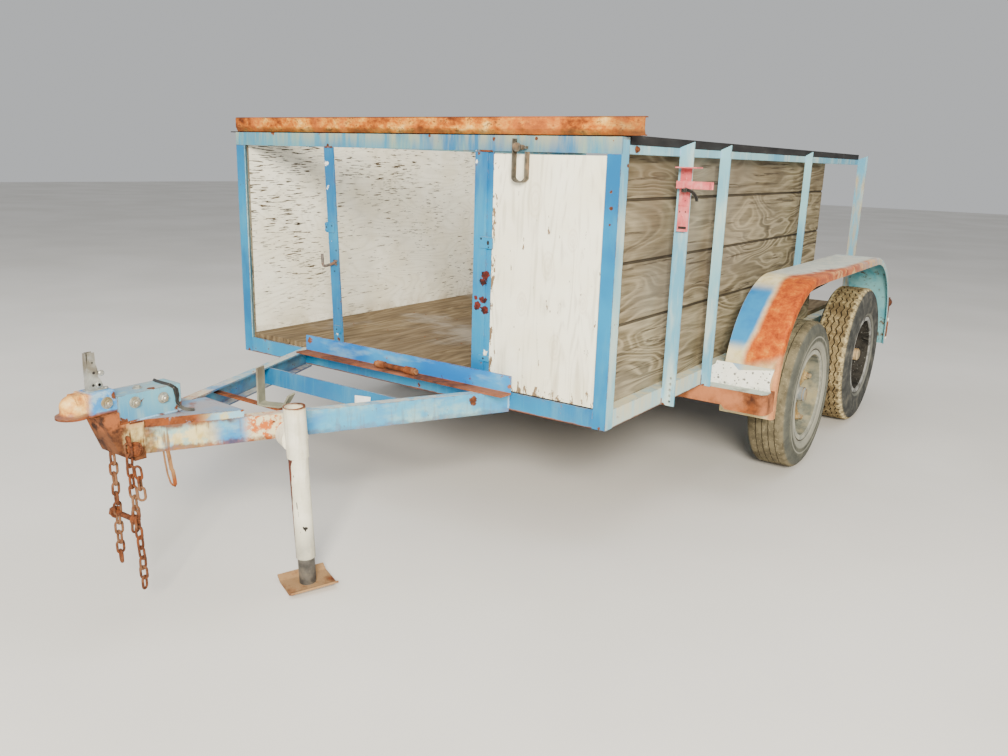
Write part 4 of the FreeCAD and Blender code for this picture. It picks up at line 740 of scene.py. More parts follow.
def sill_paint():
    """Blue upright face, bare rusty lower leg."""
    m = Mat("sill_paint")
    nx, ny, nz = m.normal()
    n = m.noise(18, 6.0, 0.62)
    fine = m.noise(80, 5.0, 0.6)
    big = m.noise(4, 3.0, 0.5)
    blue = m.mix(m.step(big, 0.38, 0.62), srgb(6, 108, 184), srgb(46, 144, 204))
    blue = m.mix(m.math("MULTIPLY", m.step(m.noise(9, 4.0, 0.6, vec=m.vec((0.5, 1, 1.5))), 0.50, 0.68), 0.5), blue, srgb(140, 186, 204))
    flat = m.step(nz, 0.6, 0.9)
    leg = m.math("MULTIPLY", flat, m.step(m.z, 0.545, 0.535))
    front_low = m.step(m.z, 0.531, 0.5285)
    mask, n2, f2 = rust_mask(m, 0.8, 0.005, [(-0.43, S(-50), 0.57, 0.03), (0.56, S(-50), 0.55, 0.02)], None, 0.6)
    mask = m.math("MAXIMUM", mask, m.math("MAXIMUM", m.math("MULTIPLY", leg, m.step(n, 0.2, 0.36)), front_low))
    col = m.mix(mask, blue, m.mix(m.step(big, 0.42, 0.6), rust_color(m, 1.0, 0.9), srgb(150, 92, 62)))
    h = m.math("ADD", m.math("MULTIPLY", mask, fine), m.math("MULTIPLY", n, 0.3))
    return m.done(col, m.step(mask, 0.0, 1.0, 0.5, 0.92), m.bump(h, 0.45, 0.002), spec=0.35)


M["sill"] = sill_paint()


def jack_paint():
    """Cream paint, yellow-brown stains from the top edge, grime towards the ground."""
    m = Mat("jack_paint")
    n = m.noise(16, 6.0, 0.62)
    streak = m.noise(60, 5.0, 0.6, vec=m.vec((1, 1, 0.10)))
    base = m.mix(m.step(n, 0.35, 0.65), srgb(212, 208, 188), srgb(230, 226, 208))
    base = m.mix(m.math("MULTIPLY", m.step(streak, 0.5, 0.72), 0.5), base, srgb(176, 168, 140))
    top = m.math("MULTIPLY", m.step(m.z, 0.545, 0.587), m.step(n, 0.35, 0.6, 0.2, 1.0))
    base = m.mix(m.math("MULTIPLY", top, 0.45), base, srgb(204, 178, 118))
    low = m.math("MULTIPLY", m.step(m.z, 0.26, 0.10), m.step(n, 0.32, 0.6, 0.4, 1.0))
    base = m.mix(m.math("MULTIPLY", low, 0.75), base, srgb(128, 126, 116))
    rim = m.step(m.math("ADD", m.z, m.math("MULTIPLY", n, 0.012)), 0.5835, 0.590)
    mask, n2, f2 = rust_mask(m, 0.35, 0.003, [(0.28, S(-757), 0.425, 0.014)], None, 0.22)
    mask = m.math("MAXIMUM", mask, rim)
    drop = m.math("MULTIPLY", m.math("SUBTRACT", 0.476, m.z), 0.04541)            # the tube leans with its foot to the rear
    axis_x = m.math("ADD", 0.280402, m.math("MULTIPLY", drop, 0.399283))
    axis_y = m.math("ADD", -1.593, m.math("MULTIPLY", drop, 0.916839))
    # a rusty scar down the outer side of the tube, wide under the sleeve and a thin line lower down
    across = m.math("MULTIPLY", m.math("ADD", m.math("MULTIPLY", m.math("SUBTRACT", m.x, axis_x), math.cos(0.6085)),
                                       m.math("MULTIPLY", m.math("SUBTRACT", m.y, axis_y), math.sin(0.6085))), -1.0 / 0.0295)
    width = m.math("ADD", m.step(m.z, 0.395, 0.43, 0.0, 0.16, smooth=False), m.step(m.z, 0.12, 0.40, 0.045, 0.21, smooth=False))
    limit = m.math("SUBTRACT", 1.0, m.math("MULTIPLY", width, 2.0))
    jag = m.math("MULTIPLY", m.math("SUBTRACT", m.noise(70, 4.0, 0.6, vec=m.vec((1, 1, 0.35))), 0.5), 0.35)
    scar = m.math("MULTIPLY", m.step(m.math("ADD", m.math("SUBTRACT", across, limit), jag), -0.01, 0.03), m.step(m.z, 0.4245, 0.4235))
    scar = m.math("MULTIPLY", scar, m.step(m.math("SUBTRACT", m.y, axis_y), 0.016, 0.004))
    mask = m.math("MAXIMUM", mask, scar)
    col = m.mix(mask, base, m.mix(scar, rust_color(m, 1.5, 0.8), m.mix(m.step(n, 0.35, 0.6), srgb(74, 40, 32), srgb(112, 58, 42))))
    h = m.math("ADD", m.math("MULTIPLY", n, 0.4), m.math("MULTIPLY", streak, 0.3))
    return m.done(col, m.step(mask, 0.0, 1.0, 0.55, 0.9), m.bump(h, 0.3, 0.0012), spec=0.35)


M["jack"] = jack_paint()


def simple_metal(name, a, b, rough, metallic, scale=20, dust=None, bump=0.3):
    m = Mat(name)
    n = m.noise(scale, 6.0, 0.6)
    col = m.mix(m.step(n, 0.35, 0.65), a, b)
    if dust is not None:
        col = m.mix(m.step(m.noise(scale * 0.35, 5.0, 0.6), 0.48, 0.68), col, dust)
    h = m.noise(scale * 6, 4.0, 0.6)
    mm = m.mix(m.math("MULTIPLY", m.edge(0.002), 0.25), col, srgb(200, 196, 186))
    return m.done(mm, rough, m.bump(h, bump, 0.001), metallic=metallic, spec=0.4)


M["inner_tube"] = simple_metal("inner_tube", srgb(58, 56, 54), srgb(96, 92, 86), 0.6, 0.3, 24, srgb(128, 116, 98))
M["foot"] = rusty("foot_rust", 0.85, 1.2, tint=srgb(150, 118, 82), tint_at=(0.34, 0.50))
M["galv"] = simple_metal("galvanised", srgb(150, 152, 148), srgb(186, 188, 182), 0.42, 0.65, 30, srgb(128, 120, 104))
M["bolt"] = simple_metal("bolt_zinc", srgb(140, 142, 136), srgb(176, 176, 164), 0.4, 0.6, 60, srgb(146, 128, 92))
M["bolt_rust"] = rusty("bolt_rust", 0.9, 2.5)
M["strap"] = simple_metal("grey_strap", srgb(118, 118, 100), srgb(140, 138, 118), 0.7, 0.0, 14, srgb(104, 92, 74))
M["under"] = simple_metal("under_steel", srgb(34, 30, 27), srgb(62, 50, 42), 0.85, 0.0, 14, srgb(96, 80, 62))
M["rubber"] = simple_metal("black_rubber", srgb(20, 20, 20), srgb(34, 34, 33), 0.6, 0.0, 40, srgb(70, 68, 62), 0.2)
M["hinge"] = paint("hinge_paint", BLUE_A, BLUE_B, CHALK, amount=0.7, edge=0.0025, spots=0.5, streak=0.35)
M["hook_rust"] = simple_metal("hook_metal", srgb(66, 62, 60), srgb(112, 102, 94), 0.6, 0.15, 60, srgb(126, 86, 62))


def red_bracket():
    m = Mat("red_bracket")
    n = m.noise(26, 6.0, 0.62)
    streak = m.noise(60, 5.0, 0.6, vec=m.vec((1, 1, 0.2)))
    col = m.ramp(n, [(0.25, srgb(186, 70, 76)), (0.5, srgb(212, 104, 108)), (0.75, srgb(228, 148, 146))])
    col = m.mix(m.math("MULTIPLY", m.step(streak, 0.5, 0.7), 0.35), col, srgb(222, 168, 160))
    inner = m.step(m.noise(5, 2.0, 0.5), 0.55, 0.7)
    col = m.mix(m.math("MULTIPLY", inner, 0.4), col, srgb(176, 52, 60))
    mask, n2, f2 = rust_mask(m, 0.4, 0.002, None, None, 0.3)
    col = m.mix(mask, col, srgb(120, 58, 48))
    return m.done(col, 0.55, m.bump(n, 0.2, 0.001), spec=0.4)


M["red"] = red_bracket()


def speckled_plate():
    """White sheet with dark freckles all over, a bare grey band along the torn top of its paint and a
    grey-green foot."""
    m = Mat("speckled_plate")
    n = m.noise(14, 5.0, 0.6)
    fine = m.noise(70, 4.0, 0.6)
    ax = m.math("ABSOLUTE", m.x)
    col = m.mix(m.step(n, 0.35, 0.65), srgb(244, 242, 228), srgb(253, 252, 242))
    dot = None
    for scale, size, shift in ((40, 0.19, (2, 2, 2)), (66, 0.20, (5, 1, 3)), (28, 0.13, (1, 7, 4))):
        d = m.voro(scale, vec=m.add_vec(m.warp(30, 0.006), shift))
        v = m.step(d, size + 0.04, size - 0.02)
        v = m.math("MULTIPLY", v, m.step(m.noise(scale * 0.6, 2.0, 0.5, vec=m.vec(loc=shift)), 0.42, 0.50))
        dot = v if dot is None else m.math("MAXIMUM", dot, v)
    col = m.mix(m.math("MULTIPLY", dot, 0.85), col, srgb(74, 72, 66))
    col = m.mix(m.math("MULTIPLY", m.step(fine, 0.60, 0.70), 0.25), col, srgb(176, 176, 164))
    # bare band: from the notch near 1.02 out to the far corner, thinner outward
    line = m.math("MAXIMUM", m.step(ax, 1.000, 1.040, 0.556, 0.520, smooth=False), m.step(ax, 1.035, 1.18, 0.5205, 0.541, smooth=False))
    line = m.math("MINIMUM", line, m.step(ax, 1.000, 1.040, 0.556, 0.545, smooth=False))
    bare = m.step(m.math("ADD", m.math("SUBTRACT", m.z, line), m.math("MULTIPLY", m.math("SUBTRACT", fine, 0.5), 0.006)), -0.0008, 0.0008)
    grey = m.mix(m.step(ax, 1.03, 1.07), srgb(150, 176, 196), srgb(186, 186, 164))
    col = m.mix(bare, col, grey)
    foot = m.math("MULTIPLY", m.step(m.z, 0.4545, 0.4530), m.step(m.z, 0.4490, 0.4498))
    footc = m.mix(m.step(fine, 0.45, 0.60), srgb(164, 180, 168), srgb(206, 208, 196))
    footc = m.mix(m.step(n, 0.56, 0.66), footc, srgb(122, 124, 110))
    col = m.mix(foot, col, footc)
    low = m.math("MULTIPLY", m.step(m.z, 0.472, 0.455), m.step(fine, 0.46, 0.56))
    col = m.mix(m.math("MULTIPLY", low, 0.45), col, srgb(150, 156, 148))
    return m.done(col, 0.5, m.bump(m.math("ADD", n, m.math("MULTIPLY", dot, -0.5)), 0.3, 0.002), spec=0.4)


M["plate"] = speckled_plate()


def lens():
    m = Mat("lamp_lens")
    n = m.noise(20, 5.0, 0.6)
    rib = m.math("SINE", m.math("MULTIPLY", m.z, 1400.0))
    col = m.mix(m.step(n, 0.4, 0.65), srgb(206, 74, 36), srgb(222, 116, 60))
    housing = m.step(m.y, S(2977), S(2975))
    col = m.mix(housing, col, srgb(60, 58, 55))
    metal = m.step(m.y, S(2966), S(2964.9))
    col = m.mix(metal, col, rust_color(m, 1.5, 0.8))
    return m.done(col, m.step(n, 0.3, 0.7, 0.25, 0.5), m.bump(m.math("ADD", m.math("MULTIPLY", rib, 0.4), n), 0.25, 0.0012), spec=0.5)


M["lens"] = lens()


# ------------------------------------------------------------------ rubber and wheels
def wheel_r(m, station, R):
    """Distance from the wheel's axis."""
    comb = m.t.nodes.new("ShaderNodeCombineXYZ")
    m.put(comb.inputs[0], m.math("SUBTRACT", m.y, S(station)))
    m.put(comb.inputs[1], m.math("SUBTRACT", m.z, R))
    ln = m.t.nodes.new("ShaderNodeVectorMath")
    ln.operation = "LENGTH"
    m.put(ln.inputs[0], comb.outputs[0])
    return ln.outputs["Value"]


def tyre_rubber(name, worn, station, R):
    """Dry rubber: the front ones worn smooth and grey with pale rings on the wall, the rear ones dark
    walled with tan dust packed in a deep zigzag tread."""
    m = Mat(name)
    n = m.noise(16, 6.0, 0.62)
    fine = m.noise(90, 5.0, 0.6)
    r = wheel_r(m, station, R)
    off = m.math("ABSOLUTE", m.math("SUBTRACT", m.math("ABSOLUTE", m.x), 1.098))
    tread = m.math("MULTIPLY", m.step(r, R - 0.022, R - 0.010), m.step(off, 0.079, 0.072))
    if worn:
        wall = m.mix(m.step(n, 0.35, 0.65), srgb(76, 77, 70), srgb(104, 104, 92))
        wall = m.mix(m.math("MULTIPLY", m.step(fine, 0.5, 0.72), 0.4), wall, srgb(132, 126, 104))
        pale = m.math("MAXIMUM", m.math("MULTIPLY", m.step(r, 0.206, 0.212), m.step(r, 0.246, 0.236)),
                      m.step(m.math("ABSOLUTE", m.math("SUBTRACT", r, 0.262)), 0.005, 0.001))
        wall = m.mix(m.math("MULTIPLY", pale, 0.55), wall, srgb(172, 170, 156))
        shoulder = m.math("MULTIPLY", m.step(r, R - 0.058, R - 0.040), m.step(r, R - 0.008, R - 0.020))
        wall = m.mix(m.math("MULTIPLY", shoulder, 0.55), wall, srgb(76, 78, 74))
        crown = m.mix(m.step(n, 0.36, 0.62), srgb(88, 80, 62), srgb(120, 110, 86))
        crown = m.mix(m.step(fine, 0.56, 0.70), crown, srgb(144, 132, 104))
        groove = m.step(r, R - 0.0010, R - 0.0036)
    else:
        wall = m.mix(m.step(n, 0.35, 0.65), srgb(56, 57, 56), srgb(84, 84, 80))
        wall = m.mix(m.math("MULTIPLY", m.step(n, 0.52, 0.70), 0.5), wall, srgb(116, 110, 96))
        pale = m.math("MULTIPLY", m.step(r, 0.206, 0.212), m.step(r, 0.226, 0.218))
        wall = m.mix(m.math("MULTIPLY", pale, 0.5), wall, srgb(140, 140, 130))
        crown = m.mix(m.step(n, 0.36, 0.60), srgb(98, 82, 56), srgb(136, 118, 84))
        crown = m.mix(m.step(m.math("ADD", m.math("MULTIPLY", fine, 0.6), m.math("MULTIPLY", n, 0.4)), 0.52, 0.62), crown, srgb(174, 156, 116))
        groove = m.step(r, R - 0.0012, R - 0.0060)
        # painted highlight: cream on the tread's outer shoulder, broken up by noise
        shoulder_highlight = m.math("MULTIPLY", m.step(off, 0.050, 0.066), m.step(fine, 0.36, 0.56))
        crown = m.mix(m.math("MULTIPLY", shoulder_highlight, 0.6), crown, srgb(206, 190, 146))
    # painted shade in the bottoms of the inner tread grooves
    groove_shade = m.math("MULTIPLY", groove, m.step(off, 0.063, 0.058))
    crown = m.mix(m.math("MULTIPLY", groove_shade, 0.8), crown, srgb(50, 42, 32))
    col = m.mix(tread, wall, crown)
    crack = m.step(m.voro(60, feature="DISTANCE_TO_EDGE", vec=m.warp(20, 0.01)), 0.02, 0.005)
    h = m.math("ADD", m.math("MULTIPLY", fine, 0.8), m.math("MULTIPLY", crack, -0.6))
    return m.done(col, 0.92, m.bump(h, 0.35, 0.0012), spec=0.2)


R_FRONT, R_REAR = 0.330, 0.354
M["tyre_front"] = tyre_rubber("tyre_worn", True, 1402, R_FRONT)
M["tyre_rear"] = tyre_rubber("tyre_dark", False, 2347, R_REAR)


def rim_paint(name, dark, station, R):
    """Front: grey-green barrel and dusty tan arms. Rear: near-black barrel and arms, a cream hub and a
    bright rubbed edge."""
    m = Mat(name)
    n = m.noise(20, 6.0, 0.62)
    big = m.noise(6, 4.0, 0.6)
    fine = m.noise(110, 4.0, 0.6)
    r = wheel_r(m, station, R)
    off = m.math("SUBTRACT", m.math("ABSOLUTE", m.x), 1.098)
    if dark:
        barrel = m.mix(m.step(n, 0.38, 0.62), srgb(28, 27, 25), srgb(58, 55, 50))
        barrel = m.mix(m.math("MULTIPLY", m.step(fine, 0.62, 0.70), 0.6), barrel, srgb(150, 150, 146))
        arms = m.mix(m.step(n, 0.38, 0.62), srgb(40, 36, 31), srgb(74, 66, 55))
        hub = m.mix(m.step(n, 0.36, 0.62), srgb(150, 120, 82), srgb(204, 178, 134))
        flange = m.mix(m.step(n, 0.40, 0.60), srgb(92, 92, 90), srgb(158, 158, 154))
    else:
        barrel = m.mix(m.step(n, 0.38, 0.62), srgb(96, 100, 92), srgb(134, 134, 118))
        barrel = m.mix(m.math("MULTIPLY", m.step(big, 0.46, 0.62), 0.7), barrel, srgb(168, 156, 120))
        arms = m.mix(m.step(n, 0.36, 0.60), srgb(140, 114, 72), srgb(186, 162, 114))
        arms = m.mix(m.step(big, 0.54, 0.66), arms, srgb(132, 110, 80))
        hub = m.mix(m.step(n, 0.40, 0.60), srgb(120, 126, 128), srgb(166, 164, 150))
        flange = m.mix(m.step(n, 0.40, 0.60), srgb(138, 140, 130), srgb(170, 168, 152))
    col = m.mix(m.step(r, 0.165, 0.172), arms, barrel)
    col = m.mix(m.step(r, 0.062, 0.056), col, hub)
    col = m.mix(m.step(off, 0.071, 0.0745), col, flange)
    # painted shade: a dark ring where the flange meets the tyre
    lip = m.math("MULTIPLY", m.step(r, 0.2025, 0.2045), m.step(off, 0.070, 0.073))
    col = m.mix(m.math("MULTIPLY", lip, 0.85), col, srgb(46, 44, 40))
    # painted shade: the inboard part of the wheel is darkened towards near black
    deep = m.step(off, -0.020, -0.060)
    col = m.mix(m.math("MULTIPLY", deep, 0.88), col, srgb(40, 36, 31))
    mask, n2, f2 = rust_mask(m, 0.6, 0.003, None, None, 0.55)
    col = m.mix(m.math("MULTIPLY", mask, 0.5 if dark else 0.8), col, rust_color(m, 1.5, 0.8))
    return m.done(col, 0.85, m.bump(n, 0.35, 0.0015), spec=0.25)


M["rim_front"] = rim_paint("rim_beige", False, 1402, R_FRONT)
M["rim_rear"] = rim_paint("rim_dark", True, 2347, R_REAR)

M["loop"] = simple_metal("loop_metal", srgb(58, 53, 45), srgb(94, 86, 74), 0.6, 0.15, 50, srgb(128, 104, 78), 0.3)
# the cross member's blue is kept a little darker than the frame's as painted shade
M["cross"] = paint("cross_blue_shaded", srgb(0, 98, 150), srgb(18, 118, 164), srgb(86, 148, 168), amount=0.8, edge=0.0035, spots=0.55, streak=0.4,
                   low=(0.446, 0.458))
# near-black discs and patches painted where holes show shade, and also the black latch's own colour
M["hole"] = simple_metal("hole_shade_and_black_metal", srgb(16, 15, 15), srgb(30, 27, 25), 0.8, 0.0, 60, srgb(42, 36, 32), 0.2)
M["weld"] = rusty("weld_rust", 0.9, 2.2, tint=srgb(132, 172, 200), tint_at=(0.42, 0.52), blue=srgb(176, 168, 140), blue_at=(0.58, 0.66))
M["strip_metal"] = rusty("strip_metal", 0.95, 1.6, tint=srgb(140, 104, 68), tint_at=(0.44, 0.62))
M["label"] = simple_metal("blank_label", srgb(226, 228, 226), srgb(240, 240, 238), 0.6, 0.0, 40, srgb(198, 192, 180), 0.1)
M["nut"] = rusty("nut_rust", 0.8, 2.0, tint=srgb(150, 136, 108), tint_at=(0.30, 0.46))

# ------------------------------------------------------------------ CAD nodes take their finishes
FINISH = {
    "frame_rail_front": "blue_rail", "frame_rail_rear": "blue_rail", "frame_rail_right": "pale_rail", "frame_rail_left": "pale_rail",
    "corner_post_front_right": "corner", "corner_post_front_left": "corner", "side_posts_right": "pale", "side_posts_left": "pale",
    "rear_posts": "pale_rear", "front_upright_left": "blue_front", "front_upright_right": "blue_front", "top_rail_front": "blue_top",
    "top_rail_right": "pale", "top_rail_left": "pale", "side_caps": "strip", "header_channel": "pipe", "floor_joists": "under",
    "floor_planks": "planks", "side_boards_right": "side_wood", "side_boards_left": "far_wall", "front_panel": "white_panel",
    "gate_hinges": "hinge", "latch_loop": "loop", "extinguisher_bracket": "red", "tongue_rail_right": "tongue",
    "tongue_rail_left": "tongue", "tongue_gusset": "gusset", "tongue_nose": "nose", "tongue_crossmember": "cross",
    "tongue_strap": "strap", "tongue_tie": "rust", "front_sill": "sill", "sill_roller": "rust_light", "coupler_channel": "channel",
    "coupler": "coupler", "coupler_latch": "galv", "safety_chains": "chain", "jack_mount": "jack", "jack_sleeve": "jack",
    "jack_tube": "jack", "jack_leg": "inner_tube", "jack_foot": "foot", "axle_front": "under", "axle_rear": "under",
    "leaf_springs": "under", "spring_hangers": "under", "fender_right": "fender", "fender_left": "fender", "fender_stays": "under",
    "fender_steps": "step", "step_plates": "plate", "tail_lamps": "lens",
    "rim_front_right": "rim_front", "rim_front_left": "rim_front", "rim_rear_right": "rim_rear", "rim_rear_left": "rim_rear",
    "tyre_front_right": "tyre_front", "tyre_front_left": "tyre_front", "tyre_rear_right": "tyre_rear", "tyre_rear_left": "tyre_rear",
}
for node_name, obj in NODES.items():
    mat = M[FINISH[node_name]]
    obj.data.materials.clear()
    obj.data.materials.append(mat)

# ------------------------------------------------------------------ helpers for the detail pieces


def lathe(bm, profile, segments, center, axis, radial_fn=None):
    """Closed profile of (radius, along) turned about an axis through center."""
    a = Vector(axis).normalized()
    u = a.orthogonal().normalized()
    if abs(a.x) > 0.9:
        u = Vector((0, 0, 1))
    w = a.cross(u)
    rings = []
    for k in range(segments):
        t = 2 * math.pi * k / segments
        d = math.cos(t) * u + math.sin(t) * w
        ring = []
        for j, (r, h) in enumerate(profile):
            if radial_fn:
                r, h = radial_fn(j, k, r, h)
            ring.append(bm.verts.new(Vector(center) + d * r + a * h))
        rings.append(ring)
    n = len(profile)
    for k in range(segments):
        r0, r1 = rings[k], rings[(k + 1) % segments]
        for j in range(n):
            bm.faces.new((r0[j], r0[(j + 1) % n], r1[(j + 1) % n], r1[j]))


def tube(bm, pts, radius, sides=10, closed=False, caps=True, flat=None):
    """Round (or flat: (wide, thick)) bar along points."""
    pts = [Vector(p) for p in pts]
    n = len(pts)
    rings = []
    normal = None
    for i, p in enumerate(pts):
        a = pts[(i - 1) % n] if (closed or i > 0) else p
        b = pts[(i + 1) % n] if (closed or i < n - 1) else p
        t = (b - a).normalized()
        if normal is None:
            normal = t.orthogonal().normalized()
            if flat is not None and len(flat) > 2:
                normal = Vector(flat[2])
        normal = (normal - t * normal.dot(t)).normalized()
        side = t.cross(normal)
        ring = []
        if flat is None:
            r = radius(i / (n - 1)) if callable(radius) else radius
            for k in range(sides):
                ang = 2 * math.pi * k / sides
                ring.append(bm.verts.new(p + (math.cos(ang) * normal + math.sin(ang) * side) * r))
        else:
            hw, ht = flat[0] / 2, flat[1] / 2
            for sx, sy in ((-1, -1), (1, -1), (1, 1), (-1, 1)):
                ring.append(bm.verts.new(p + side * hw * sx + normal * ht * sy))
        rings.append(ring)
    m = len(rings[0])
    last = n if closed else n - 1
    for i in range(last):
        r0, r1 = rings[i], rings[(i + 1) % n]
        for k in range(m):
            bm.faces.new((r0[k], r0[(k + 1) % m], r1[(k + 1) % m], r1[k]))
    if not closed and caps:
        bm.faces.new(list(reversed(rings[0])))
        bm.faces.new(rings[-1])


def prism(bm, origin, ex, ey, outline, height, bevel=0.0):
    """Outline in the plane of ex, ey raised along their normal, with a chamfered top."""
    ex, ey = Vector(ex).normalized(), Vector(ey).normalized()
    ez = ex.cross(ey)
    o = Vector(origin)
    n = len(outline)
    cx = sum(p[0] for p in outline) / n
    cy = sum(p[1] for p in outline) / n
    rings = []
    levels = [(0.0, 0.0), (height - bevel, 0.0), (height, bevel)] if bevel else [(0.0, 0.0), (height, 0.0)]
    for h, inset in levels:
        ring = []
        for px, py in outline:
            d = math.hypot(px - cx, py - cy) or 1.0
            k = (d - inset) / d
            ring.append(bm.verts.new(o + ex * (cx + (px - cx) * k) + ey * (cy + (py - cy) * k) + ez * h))
        rings.append(ring)
    for r0, r1 in zip(rings[:-1], rings[1:]):
        for k in range(n):
            bm.faces.new((r0[k], r0[(k + 1) % n], r1[(k + 1) % n], r1[k]))
    bm.faces.new(list(reversed(rings[0])))
    bm.faces.new(rings[-1])


def ngon(r, sides, turn=0.0):
    return [(r * math.cos(2 * math.pi * k / sides + turn), r * math.sin(2 * math.pi * k / sides + turn)) for k in range(sides)]


def disc(bm, center, axis, rows, segments=20):
    """Solid of revolution from (radius, height) rows, closed on its axis at both ends."""
    a = Vector(axis).normalized()
    u = a.orthogonal().normalized()
    w = a.cross(u)
    c = Vector(center)
    rings = []
    for r, h in rows:
        rings.append([bm.verts.new(c + a * h + (math.cos(2 * math.pi * k / segments) * u + math.sin(2 * math.pi * k / segments) * w) * r)
                      for k in range(segments)])
    for r0, r1 in zip(rings[:-1], rings[1:]):
        for k in range(segments):
            bm.faces.new((r0[k], r0[(k + 1) % segments], r1[(k + 1) % segments], r1[k]))
    bm.faces.new(list(reversed(rings[0])))
    bm.faces.new(rings[-1])


def hexbolt(bm, center, axis, flats=0.019, head=0.0085, washer=0.014, wt=0.0022, stub=0.0, turn=0.2):
    """Washer, chamfered hexagon, and the thread's end standing out of it when stub is given."""
    a = Vector(axis).normalized()
    u = a.orthogonal().normalized()
    w = a.cross(u)
    c = Vector(center)
    if wt:
        disc(bm, c, a, [(washer, 0.0), (washer, wt * 0.8), (washer - wt * 0.3, wt)], 24)
    r = flats / math.sqrt(3)
    prism(bm, c + a * wt, u, w, ngon(r, 6, turn), head, bevel=head * 0.16)
    if stub:
        rows, z = [], 0.0
        pitch = 0.0016
        top = wt + head + stub
        z = wt + head * 0.9
        k = 0
        rr = flats * 0.27
        while z < top - 1e-6:
            rows.append((rr if k % 2 else rr * 0.88, z))
            z += pitch / 2
            k += 1
        rows.append((rr * 0.75, top))
        disc(bm, c, a, rows, 14)


def make(name, bm, mat, body, replaces=(), smooth=0.7):
    """Turn a bmesh into a piece that rides on a body."""
    bmesh.ops.remove_doubles(bm, verts=bm.verts, dist=1e-6)
    bmesh.ops.recalc_face_normals(bm, faces=bm.faces)
    me = bpy.data.meshes.new(name)
    bm.to_mesh(me)
    bm.free()
    ob = bpy.data.objects.new(name, me)
    bpy.context.scene.collection.objects.link(ob)
    me.materials.append(mat)
    if smooth:
        for poly in me.polygons:
            poly.use_smooth = True
        me.set_sharp_from_angle(angle=smooth)
    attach(ob, body)
    if replaces:
        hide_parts(*replaces)
    return ob


# ------------------------------------------------------------------ tyres with a cut tread
SEGS = 360


def tyre_piece(name, key, side, station, mat, R, worn):
    cx, cy, cz = side * 1.098, S(station), R
    wall = [(0.190, -0.0730), (0.2080, -0.0748), (0.2092, -0.0800), (0.2130, -0.0838), (0.2155, -0.0830), (0.2185, -0.0858), (0.2315, -0.0884),
            (0.2330, -0.0872), (0.2350, -0.0886), (R - 0.072, -0.0899), (R - 0.054, -0.0893), (R - 0.0525, -0.0880), (R - 0.051, -0.0890),
            (R - 0.034, -0.0868), (R - 0.022, -0.0832)]
    shoulder = [(R - 0.0165, -0.0800), (R - 0.0105, -0.0752), (R - 0.0045, -0.0690), (R - 0.0014, -0.0640)]
    grooves = (-0.0400, -0.0135, 0.0135, 0.0400)
    gw, gd, zig = (0.0022, 0.0050, 0.0011) if worn else (0.0036, 0.0110, 0.0052)
    tread = []
    for gi, g in enumerate(grooves):
        tread += [(R - 0.0004, g - gw, gi), (R - gd, g - gw * 0.55, gi), (R - gd, g + gw * 0.55, gi), (R - 0.0004, g + gw, gi)]
    prof = [(r, h, None) for r, h in wall] + [(r, h, "s") for r, h in shoulder] + [(r, h, g) for r, h, g in tread]
    prof += [(r, -h, "s") for r, h in reversed(shoulder)] + [(r, -h, None) for r, h in reversed(wall)]
    # inside face, plain
    inner = [(0.190, 0.060), (0.203, 0.062), (0.231, 0.076), (R - 0.066, 0.0785), (R - 0.038, 0.0745), (R - 0.026, 0.0635), (R - 0.0215, 0.050)]
    prof += [(r, h, None) for r, h in inner] + [(r, -h, None) for r, h in reversed(inner)]
    count = 60 if worn else 45                              # pattern repeats round the tread
    per = SEGS // count

    def shape(j, k, r, h):
        kind = prof[j][2]
        ph = (k % per) / per
        if isinstance(kind, int):
            tri = abs(((ph + 0.25 * (kind % 2)) % 1.0) * 2 - 1) * 2 - 1
            h += zig * tri
        elif kind == "s":
            cut = 1.0 if (k % per) in ((0,) if worn else (0, 1, 2)) else 0.0
            deep = max(0.0, min(1.0, (r - (R - 0.024)) / 0.024))
            r -= cut * (0.0014 if worn else 0.0075) * deep
            h -= math.copysign(cut * (0.0006 if worn else 0.0030), h)
        return r, h

    bm = bmesh.new()
    lathe(bm, [(r, h) for r, h, _ in prof], SEGS, (cx, cy, cz), (side, 0, 0), shape)
    ob = make(name, bm, mat, "wheel_" + key, ("tyre_" + key,), 0.55)
    return ob


ENDS = (("front", 1402, R_FRONT), ("rear", 2347, R_REAR))
for tag, side in (("right", 1), ("left", -1)):
    for end, station, R in ENDS:
        tyre_piece("tread_%s_%s" % (end, tag), "%s_%s" % (end, tag), side, station, M["tyre_" + end], R, end == "front")

# ------------------------------------------------------------------ small parts


def P(x, station, z):
    return Vector((x / 1000.0, S(station), z / 1000.0))


def along(pts, dist):
    """Point and direction at a distance along a polyline."""
    left = dist
    for a, b in zip(pts[:-1], pts[1:]):
        d = (b - a).length
        if left <= d or b is pts[-1]:
            t = (b - a).normalized()
            return a + t * left, t
        left -= d
    return pts[-1], (pts[-1] - pts[-2]).normalized()


def link(bm, c, t, side, wire=0.00375, half=0.0095, rad=0.00975):
    pts = []
    for sign in (1, -1):
        for k in range(8):
            a = math.pi * k / 7
            pts.append(c + t * sign * (half + rad * math.sin(a)) + side * sign * rad * math.cos(a))
    tube(bm, pts, wire, sides=8, closed=True)


def chain(bm, pts, count, pitch=0.031, turn=0.4, wire=0.00375, scale=1.0):
    for i in range(count):
        c, t = along(pts, (i + 0.5) * pitch)
        u = t.orthogonal().normalized()
        w = t.cross(u)
        a = turn + (math.pi / 2 if i % 2 else 0.0) + rnd.uniform(-0.22, 0.22)
        side = math.cos(a) * u + math.sin(a) * w
        tilt = (t + side * rnd.uniform(-0.04, 0.04)).normalized()
        side = (side - tilt * side.dot(tilt)).normalized()
        link(bm, c, tilt, side, wire, 0.0095 * scale, 0.00975 * scale)


